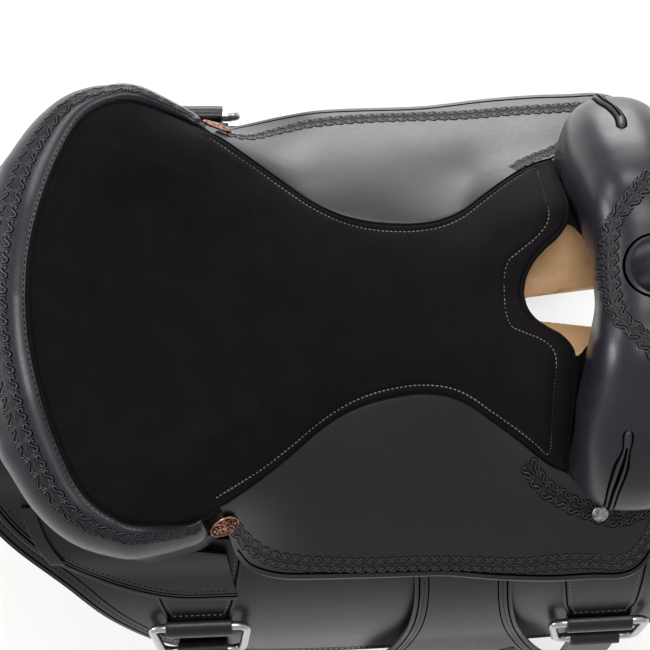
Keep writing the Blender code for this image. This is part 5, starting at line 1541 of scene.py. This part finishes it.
@dataclass
class RearLeather:
    """Rear jockeys with their conchos, the cantle's back and the saddle strings."""

    inner: tuple = ((-238, 31), (-238, 60), (-230, 90), (-212, 117), (-184, 138), (-150, 150), (-94, 160))
    outer: tuple = ((-288, 31), (-286, 78), (-266, 122), (-232, 158), (-190, 186), (-140, 204), (-88, 206))
    thickness: float = 3.5
    string: tuple = ((-240, 131), (-238, 141), (-234, 152), (-229, 161), (-222, 170))
    string_half: float = 5.5
    string_lifts: tuple = (2.75, 0.35)
    back_end: tuple = ((-108, 149.8), (-101, 146.5))
    back_thickness: float = 3.0

    def top(self, x: Array, out: Array, extra: Array) -> Array:
        """Points above the rear jockey's face."""
        return BACK.skin(x, out, BACK.rear_lift(out) + self.thickness + extra)

    def jockey(self, side: Side) -> list[Piece]:
        """Leather behind the cantle over bar and skirt, creased along its edge.

        Args:
            side: Side of the horse.

        Returns:
            The jockey, its crease and thread, and its concho.
        """
        plan = between(curve(self.inner, 80), curve(self.outer, 80), 22)
        grids = [self.top(plan[..., 0], plan[..., 1], extra) for extra in (0.0, -self.thickness)]
        made = [sheet("rear_jockey_leather_" + side.tag, "rear_jockey_" + side.tag, grids, side, SMOOTH)]
        relief = Relief(self.top, side)
        edge = curve(self.outer, 160)
        relief.stroke(inset(edge, 4.0), CREASE)
        relief.stroke(inset(edge, 6.6), CREASE, 0.7)
        thread = EDGE_SEAM.sew("rear_jockey_thread_" + side.tag, inset(edge, 9.5)[4:-4], self.top, side)
        made += [relief.make("rear_jockey_crease_" + side.tag, CARVED), thread]
        concho = Concho((-92.0, 152.0), 11.5, 4.0, 4, COPPER, PATINA)
        return made + concho.build("concho_rear_" + side.tag, side, "saddle")

    def cantle_back(self) -> Piece:
        """Leather from under the roll down to the rear jockeys."""
        rim, outward, share, height = SEAT.rim(121, end=self.back_end)
        narrow = CantleRoll().width(share * 230.0) + 0.06
        grids = []
        for thickness in (self.back_thickness, 0.0):
            rows = []
            for point, way, level, part, scale in zip(rim, outward, height, share, narrow):
                base = point + way * 11.0
                foot = BACK.rear_top(base[0], abs(base[1])) + 2.0
                top = level - np.interp(abs(part), (0.0, 0.9, 1.0), (25.0, 25.0, 33.0))
                heights = np.linspace(top, foot, 14)
                out = np.interp(heights, (foot, top), (11.0, 17.0)) * min(1.0, scale) + thickness
                rows.append(np.column_stack((point + way * out[:, None], heights)))
            grids.append(np.array(rows))
        return sheet("cantle_back_leather", "cantle_back", grids, Side.NEAR, SMOOTH)

    def strings(self, side: Side) -> Piece:
        """Flat leather string that lies over the rear jockey."""
        path = curve(self.string, 40)
        across = np.linspace(-self.string_half, self.string_half, 7)
        grids = [np.array([np.column_stack((x + across, np.full(7, y),
                                            np.full(7, BACK.rear_top(x, y) + lift)))
                           for x, y in path]) for lift in self.string_lifts]
        return sheet("saddle_string_leather_" + side.tag, "saddle_string_" + side.tag, grids, side, STRAP,
                     edge=0.6)


@dataclass
class Skirts:
    """Round skirts with stitched edges and their woolskin lining."""

    outline: tuple = ((-300, 62), (-290, 112), (-262, 152), (-220, 196), (-182, 246), (-140, 296),
                      (-90, 328), (0, 342), (110, 342), (186, 334), (238, 308), (268, 262), (284, 200),
                      (288, 130), (280, 62))
    inner: float = 30.0
    fleece: float = 14.0
    bottom: float = 14.8
    thickness: float = 4.0
    lock: float = 1.1
    stray: float = 0.45

    def plan(self, rows: int, columns: int) -> tuple[Array, Array]:
        """Grids of X and distance out over a skirt."""
        outline = curve(self.outline, rows)
        ends = np.linspace(outline[0, 0], outline[-1, 0], rows)
        plan = between(np.column_stack((ends, np.full(rows, self.inner))), outline, columns)
        return plan[..., 0], plan[..., 1]

    def top(self, x: Array, out: Array, lift: Array) -> Array:
        """Points above the skirt's face."""
        return BACK.skin(x, out, self.bottom + self.thickness + lift)

    def build(self, side: Side) -> list[Piece]:
        """Skirt, its creases and seam, and the wool under it.

        Args:
            side: Side of the horse.

        Returns:
            The pieces.
        """
        x, out = self.plan(160, 50)
        grids = BACK.skin(x, out, self.bottom + self.thickness), BACK.skin(x, out, self.bottom)
        skirt = sheet("skirt_leather_" + side.tag, "skirt_" + side.tag, grids, side, SMOOTH)
        edge = curve(self.outline, 420)
        relief = Relief(self.top, side)
        for distance, scale in ((3.6, 1.0), (12.5, 0.8)):
            relief.stroke(inset(edge, distance), CREASE, scale)
        crease = relief.make("skirt_crease_" + side.tag, CARVED)
        thread = SKIRT_SEAM.sew("skirt_thread_" + side.tag, inset(edge, 8.0), self.top, side)
        return [skirt, crease, thread, self.wool(side)]

    def wool(self, side: Side) -> Piece:
        """Woolskin with tufted locks on its underside and thin edges.

        Args:
            side: Side of the horse.

        Returns:
            The woolskin.
        """
        x, out = self.plan(220, 84)
        row, column = (np.minimum(np.arange(count), np.arange(count)[::-1]) for count in x.shape)
        rim = np.clip(np.minimum(row[:, None] / 3.0, column[None] / 2.0), 0, 1)
        tufts = np.sin(x * 0.9 + 2.1 * np.sin(out * 0.31)) * np.sin(out * 0.8 + 1.7 * np.sin(x * 0.27))
        tufts = tufts + np.random.default_rng(11).normal(0.0, self.stray, x.shape)
        under = 0.35 * self.fleece * (1 - rim) + 1.3 * rim + self.lock * tufts * rim
        grids = BACK.skin(x, out, self.fleece), BACK.skin(x, out, np.maximum(under, 0.05))
        return sheet("woolskin_" + side.tag, "fleece_" + side.tag, grids, side, WOOL, edge=0.0, angle=70.0)


# Straps, rings, fenders and stirrups


def strap_grids(path: Array, thickness: float, half: Array, centre_x: float, surface: Surface,
                columns: int) -> Grids:
    """Both faces of a strap of even thickness.

    Args:
        path: Distance out and lift of the strap's middle.
        thickness: Thickness in millimetres.
        half: Half width at each point of the path.
        centre_x: X of the strap's middle.
        surface: Surface that it follows.
        columns: Points across the strap.

    Returns:
        Grids of its upper and lower face.
    """
    x = centre_x + half[:, None] * np.linspace(-1, 1, columns)[None]
    lines = (path + normals_2d(path) * offset for offset in (thickness / 2, -thickness / 2))
    return tuple(surface(x, line[:, :1], line[:, 1:]) for line in lines)


@dataclass
class HungLeather:
    """Stirrup leather, fender and stirrup of one side."""

    centre_x: float = 88.0
    strap_width: float = 64.0
    thickness: float = 4.0
    strap_start: float = 158.0
    bolt_height: float = -640.0
    loop_radius: float = 10.6
    return_length: float = 112.0
    fender_start: float = 170.0
    fender_length: float = 420.0
    fender_neck: float = 76.0
    fender_width: float = 172.0
    fender_lift: float = 26.4
    strap_lift: float = 21.6
    scrolls: tuple = (11.5, 8.4, 0.85, 0.6)
    scroll_inset: float = 22.0

    def surface(self, x: Array, along: Array, lift: Array) -> Array:
        """Surface that the stirrup leather and the fender hang on."""
        return BACK.hanging(x, along, lift, self.centre_x, BACK.drape_end - BACK.hang_blend)

    def fender_top(self, x: Array, along: Array, lift: Array) -> Array:
        """Points above the fender's face."""
        return self.surface(x, along, self.fender_lift + self.thickness / 2 + lift)

    def fender_half(self, share: Array) -> Array:
        """Half width of the fender against its share of length."""
        neck, wide = self.fender_neck / 2, self.fender_width / 2
        knots = np.array((0, 0.1, 0.24, 0.4, 0.56, 0.7, 0.84, 0.94, 1.0))
        return eased(share, knots, np.array((neck, neck, neck * 1.25, wide * 0.86, wide, wide * 0.97,
                                             wide * 0.72, neck * 1.1, neck * 0.9)))

    def fender(self, side: Side) -> list[Piece]:
        """Broad panel with edge creases, seams and a stamped border.

        Args:
            side: Side of the horse.

        Returns:
            The pieces.
        """
        body = side.tag + "_fender"
        along = np.linspace(self.fender_start, self.fender_start + self.fender_length, 110)
        half = self.fender_half(np.linspace(0, 1, 110))
        grids = strap_grids(np.column_stack((along, np.full(110, self.fender_lift))), self.thickness, half,
                            self.centre_x, self.surface, 44)
        panel = sheet("fender_leather_" + side.tag, "fender_" + side.tag, grids, side, SMOOTH, body)

        def line(sign: int, distance: float) -> Array:
            """Line at a distance inside the fender's rear or front edge."""
            return np.column_stack((self.centre_x + sign * (half - distance), along))

        relief = Relief(self.fender_top, side)
        for distance, scale in ((3.4, 1.0), (10.5, 0.8)):
            for sign in (-1, 1):
                relief.stroke(line(sign, distance)[3:-3], CREASE, scale)
        for sign in (-1, 1):
            relief.scrolls(line(sign, self.scroll_inset)[34:106], *self.scrolls)
        made = [panel, relief.make("fender_carving_" + side.tag, CARVED, body)]
        for label, sign in (("rear", -1), ("front", 1)):
            made.append(EDGE_SEAM.sew("fender_thread_" + label + "_" + side.tag, line(sign, 7.0)[3:-3],
                                      self.fender_top, side, body))
        return made

    def strap(self, side: Side) -> Piece:
        """Stirrup leather, doubled round the bolt.

        Args:
            side: Side of the horse.

        Returns:
            The strap.
        """
        edge = BACK.skin(self.centre_x, BACK.drape_end, self.strap_lift)
        bolt = BACK.drape_end + float(edge[2]) - self.bolt_height
        down = np.linspace(self.strap_start, bolt, 90)
        turns = np.radians(np.linspace(-90, 90, 21))[1:]
        fold = np.column_stack((bolt + self.loop_radius * np.cos(turns),
                                self.strap_lift + self.loop_radius + self.loop_radius * np.sin(turns)))
        back = np.linspace(bolt, bolt - self.return_length, 14)[1:]
        path = np.vstack((np.column_stack((down, np.full(90, self.strap_lift))), fold,
                          np.column_stack((back, np.full(13, self.strap_lift + 2 * self.loop_radius)))))
        grids = strap_grids(path, self.thickness, np.full(len(path), self.strap_width / 2), self.centre_x,
                            self.surface, 12)
        return sheet("stirrup_strap_" + side.tag, "stirrup_leather_" + side.tag, grids, side, STRAP,
                     side.tag + "_fender", 0.9)

    def smaller(self, side: Side) -> list[Piece]:
        """Stirrup, tread, bolt, sleeve, hobble strap and billets from finer CAD copies."""
        plan = (("stirrup_", "_stirrup", SMOOTH, 1.6, 2), ("tread_", "_stirrup", RUBBER, 0.4, 0),
                ("stirrup_bolt_", "_stirrup", STEEL, 0.4, 1), ("buckle_sleeve_", "_sleeve", STEEL, 0.5, 1),
                ("hobble_strap_", "_fender", STRAP, 0.9, 1), ("flank_billet_", "_flank_strap", STRAP, 0.9, 1))
        made = [refined(stem + side.tag, stem + "fine_" + side.tag, finish, side.tag + body, bevel, levels)
                for stem, body, finish, bevel, levels in plan]
        name = "latigo" if side is Side.NEAR else "off_billet"
        return made + [refined(name, name + "_fine", STRAP, side.tag + "_cinch_strap", 0.9, 1)]


@dataclass
class Rigging:
    """Rigging plates folded round their rings, and the latigo keeper."""

    start: float = 152.0
    places: tuple = (("front", 198.0, 258.0, 38.0), ("rear", -120.0, 236.0, 42.0))
    wire: float = 3.5
    width: float = 76.0
    depth: float = 48.0
    corner: float = 10.0
    taper: float = 6.0
    leather: float = 4.0
    fold: float = 6.1
    level: float = 27.7
    keeper_x: float = 249.0
    keeper_out: tuple = (194.0, 240.0)
    keeper_half: tuple = (27.0, 22.0)
    keeper_low: float = 24.4
    keeper_section: tuple = (
        (0, 3.2), (0.04, 3.8), (0.1, 4), (0.35, 4), (0.65, 4), (0.9, 4), (0.96, 3.8), (1, 3.2), (1, 0.8),
        (0.96, 0.2), (0.9, 0), (0.5, 0), (0.1, 0), (0.04, 0.2), (0, 0.8))
    slot: tuple = (212.0, 218.0, 21.0)

    @staticmethod
    def rounded(low: float, high: float, wide: float, narrow: float, radius: float, straight: int = 8
                ) -> Array:
        """Closed outline of a tapered slot or loop with rounded corners.

        Args:
            low: Where it is wide.
            high: Where it is narrow.
            wide: Half width at its wide end.
            narrow: Half width at its narrow end.
            radius: Rounding of its corners.
            straight: Points on each straight side.

        Returns:
            Points round the outline.
        """
        corners = np.array(((-wide, low), (wide, low), (narrow, high), (-narrow, high)), float)
        path = []
        for index, corner in enumerate(corners):
            before, after = corners[index - 1] - corner, corners[(index + 1) % 4] - corner
            start = corner + before / np.linalg.norm(before) * radius
            end = corner + after / np.linalg.norm(after) * radius
            onward = corners[(index + 1) % 4] - after / np.linalg.norm(after) * radius
            path += [(1 - part) ** 2 * start + 2 * part * (1 - part) * corner + part ** 2 * end
                     for part in np.linspace(0, 1, 8)]
            path += [end + (onward - end) * part for part in np.linspace(0, 1, straight + 2)[1:-1]]
        return np.array(path)

    def ring(self, label: str, centre_x: float, out: float, side: Side) -> Piece:
        """Ring of round steel wire with a straight bar and foot.

        Args:
            label: Front or rear.
            centre_x: X of its middle.
            out: Distance of its bar from the spine.
            side: Side of the horse.

        Returns:
            The ring.
        """
        left, right = (BACK.skin(centre_x + sign * self.width / 2, out, self.level) for sign in (-1, 1))
        angle = float(np.interp(out + self.depth / 2, BACK.out, BACK.angles)) + BACK.turn_at(centre_x)
        down = np.array((0.0, math.cos(angle), -math.sin(angle)))
        flat = self.rounded(0, self.depth, self.width / 2, self.width / 2 - self.taper, self.corner)
        path = np.array([left + (right - left) * (x / self.width + 0.5) + low * down for x, low in flat])
        face = np.cross(right - left, down)
        face /= np.linalg.norm(face)
        way = np.roll(path, -1, 0) - np.roll(path, 1, 0)
        aside = np.cross(way / np.linalg.norm(way, axis=1)[:, None], face)
        turns = np.linspace(0, 2 * math.pi, 14, endpoint=False)[None, :, None]
        grid = path[:, None] + self.wire * (np.cos(turns) * aside[:, None] + np.sin(turns) * face)
        return loop_piece("ring_" + label + "_" + side.tag, "dee_" + label + "_" + side.tag, grid, side,
                          STEEL, side.tag + "_" + label + "_ring")

    def plate(self, label: str, centre_x: float, out: float, wide: float, side: Side) -> list[Piece]:
        """Rigging plate with its loop, edge crease and stitching.

        Args:
            label: Front or rear.
            centre_x: X of its middle.
            out: Distance of its fold from the spine.
            wide: Half width at its top.
            side: Side of the horse.

        Returns:
            The pieces.
        """
        tag = label + "_" + side.tag
        turns = np.radians(np.linspace(-90, 185, 34))
        path = np.vstack((
            np.column_stack((np.linspace(self.start, out, 40)[:-1], np.full(39, self.level - self.fold))),
            np.column_stack((out + self.fold * np.cos(turns), self.level + self.fold * np.sin(turns)))))
        narrow = self.width / 2 - self.corner - 2.0

        def half(along: Array, distance: float) -> Array:
            """Half width of the plate inside a distance from its edge."""
            return np.interp(along, (self.start, out - 24, out - 10), (wide, narrow + 4, narrow)) - distance

        def line(along: Array, sign: int, distance: float) -> Array:
            """Line at a distance inside the plate's rear or front edge."""
            return np.column_stack((centre_x + sign * half(along, distance), along))

        def top(x: Array, away: Array, lift: Array) -> Array:
            """Points above the plate's face."""
            return BACK.skin(x, away, self.level - self.fold + self.leather / 2 + lift)

        grids = strap_grids(path, self.leather, half(path[:, 0], 0.0), centre_x, BACK.skin, 18)
        made = [sheet("rig_plate_leather_" + tag, "rig_plate_" + tag, grids, side, SMOOTH, edge=0.9)]
        relief = Relief(top, side)
        for sign in (-1, 1):
            relief.stroke(line(np.linspace(self.start + 2, out - 1, 60), sign, 3.0), CREASE)
        rear, front = (line(np.linspace(self.start + 4, out - 9.5, 50), sign, 6.0) for sign in (-1, 1))
        seam = np.vstack((rear, np.linspace(rear[-1], front[-1], 30)[1:-1], front[::-1]))
        made.append(relief.make("rig_plate_crease_" + tag, CARVED))
        return made + [RIG_SEAM.sew("rig_plate_thread_" + tag, seam, top, side)]

    def keeper_top(self, x: Array, away: Array, lift: Array) -> Array:
        """Points above the keeper's face."""
        return BACK.skin(x, away, self.keeper_low + self.leather + lift)

    def keeper(self) -> list[Piece]:
        """Slotted leather holder for the latigo's end, on the near side alone."""
        first, last, reach = self.slot
        rim = self.rounded(*self.keeper_out, *self.keeper_half, 2.5, 16)
        hole = self.rounded(first, last, reach, reach, 1.2, 16)
        plans = [(rim + (hole - rim) * part, lift) for part, lift in self.keeper_section]
        grid = [BACK.skin(self.keeper_x + plan[:, 0], plan[:, 1], self.keeper_low + lift)
                for plan, lift in plans]
        leather = loop_piece("latigo_keeper_leather", "latigo_keeper", np.array(grid).transpose(1, 0, 2),
                             Side.NEAR, SMOOTH, "saddle")
        relief = Relief(self.keeper_top)
        middle = np.array((0.0, sum(self.keeper_out) / 2))
        line = middle + (rim - middle) * 0.88 + (self.keeper_x, 0.0)
        relief.stroke(np.vstack((line, line[:1])), CREASE, 0.8)
        return [leather, relief.make("latigo_keeper_crease", CARVED)]

    def build(self, side: Side) -> list[Piece]:
        """Both plates and rings of one side, with the near side's keeper."""
        made = self.keeper() if side is Side.NEAR else []
        for label, centre_x, out, wide in self.places:
            made += self.plate(label, centre_x, out, wide, side) + [self.ring(label, centre_x, out, side)]
        return made


# Stage


@dataclass
class Camera:
    """Camera that was fitted to the photograph's points."""

    place: tuple = (2.1, -420.7, 1830.2)
    tilt: float = 13.12
    roll: float = -1.74
    turn: float = -0.47
    focal_px: float = 2449.0
    width_px: float = 650.0
    sensor_mm: float = 36.0

    def build(self) -> None:
        """Adds the camera with the fitted place, turn and lens."""
        tilt, roll, turn = map(math.radians, (self.tilt, self.roll, self.turn))
        look = np.array((0, math.sin(tilt), -math.cos(tilt)))
        up = np.array((0, math.cos(tilt), math.sin(tilt)))
        right = np.array((1.0, 0, 0))
        ahead = look
        look = ahead * math.cos(turn) + right * math.sin(turn)
        right = right * math.cos(turn) - ahead * math.sin(turn)
        right, up = right * math.cos(roll) + up * math.sin(roll), up * math.cos(roll) - right * math.sin(roll)
        data = bpy.data.cameras.new("camera")
        data.sensor_width = self.sensor_mm
        data.lens = self.focal_px * self.sensor_mm / self.width_px
        data.clip_end = 30.0
        camera = bpy.data.objects.new("camera", data)
        camera.matrix_world = (Matrix.Translation(Vector(self.place) * MM)
                               @ Matrix([right, up, -look]).transposed().to_4x4())
        bpy.context.scene.collection.objects.link(camera)
        bpy.context.scene.camera = camera


@dataclass
class Studio:
    """White floor, pale world and soft boxes."""

    floor_z: float = -0.803
    floor_size: float = 14.0
    world: float = 0.48
    middle: tuple = (0.05, 0.0, 0.05)
    reach: float = 2.4
    boxes: tuple = (("low_near_box", 87, -8, (1.2, 1.0), 21.0), ("high_near_box", 90, 40, (0.9, 0.7), 13.0),
                    ("front_near_box", 30, 35, (0.9, 0.7), 10.0), ("low_rear_box", 180, 15, (0.9, 0.7), 24.0),
                    ("rear_near_box", 150, 30, (0.9, 0.7), 10.0), ("overhead_box", 0, 85, (0.9, 0.7), 19.0))

    def soft_box(self, name: str, turn: float, height: float, size: tuple, power: float) -> None:
        """Adds one soft box that faces the saddle.

        Args:
            name: Its name.
            turn: Its direction round the saddle, in degrees.
            height: Its height above the floor's plane, in degrees.
            size: Its width and height in metres.
            power: Its power in watts.
        """
        turn, height = math.radians(turn), math.radians(height)
        way = Vector((math.cos(turn) * math.cos(height), math.sin(turn) * math.cos(height), math.sin(height)))
        data = bpy.data.lights.new(name, "AREA")
        data.shape = "RECTANGLE"
        data.size, data.size_y = size
        data.energy = power
        lamp = bpy.data.objects.new(name, data)
        lamp.location = Vector(self.middle) + way * self.reach
        lamp.rotation_mode = "QUATERNION"
        lamp.rotation_quaternion = (-way).to_track_quat("-Z", "Y")
        bpy.context.scene.collection.objects.link(lamp)

    def build(self) -> None:
        """World, floor and lights."""
        world = bpy.data.worlds.new("studio")
        bpy.context.scene.world = world
        world.use_nodes = True
        wire(world.node_tree, world.node_tree.nodes["Background"],
             {"Color": srgb("#ffffff"), "Strength": self.world})
        bpy.ops.mesh.primitive_plane_add(size=self.floor_size, location=(0, 0, self.floor_z))
        floor = bpy.context.object
        floor.name = "floor"
        floor.data.materials.append(FLOOR.build())
        for box in self.boxes:
            self.soft_box(*box)


def report_pieces(*groups: Union[Piece, list]) -> None:
    """Logs each piece with its face count."""
    for group in groups:
        for piece in group if isinstance(group, list) else [group]:
            LOG.info("piece %s, %d faces", piece.name, len(piece.data.polygons))


def main() -> None:
    """Builds the saddle from the seat outwards, after the stage."""
    logging.basicConfig(level=logging.INFO, format="%(message)s", stream=sys.stdout)
    FRAME.update(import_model())
    Camera().build()
    Studio().build()
    jockeys, rear, hung = SeatJockeys(), RearLeather(), HungLeather()
    report_pieces(SeatPad().build(), jockeys.build(Side.NEAR), jockeys.build(Side.OFF), CantleRoll().build(),
                  SwellCover().build(), Horn().build(), rear.cantle_back())
    for side in Side:
        report_pieces(KeyholeLining().build(side), rear.jockey(side), rear.strings(side),
                      Skirts().build(side), hung.fender(side), hung.strap(side), hung.smaller(side),
                      Rigging().build(side))
    for name, source in list(FRAME["nodes"].items()):
        if not source.hide_render:
            finish = RAWHIDE if "bar" in name else SMOOTH
            report_pieces(refined(name, name + "_smoothed", finish, "saddle", 0.8, 0, 42.0, quads=False))
    bpy.context.scene.view_settings.view_transform = "Standard"


if __name__ == "__main__":
    main()
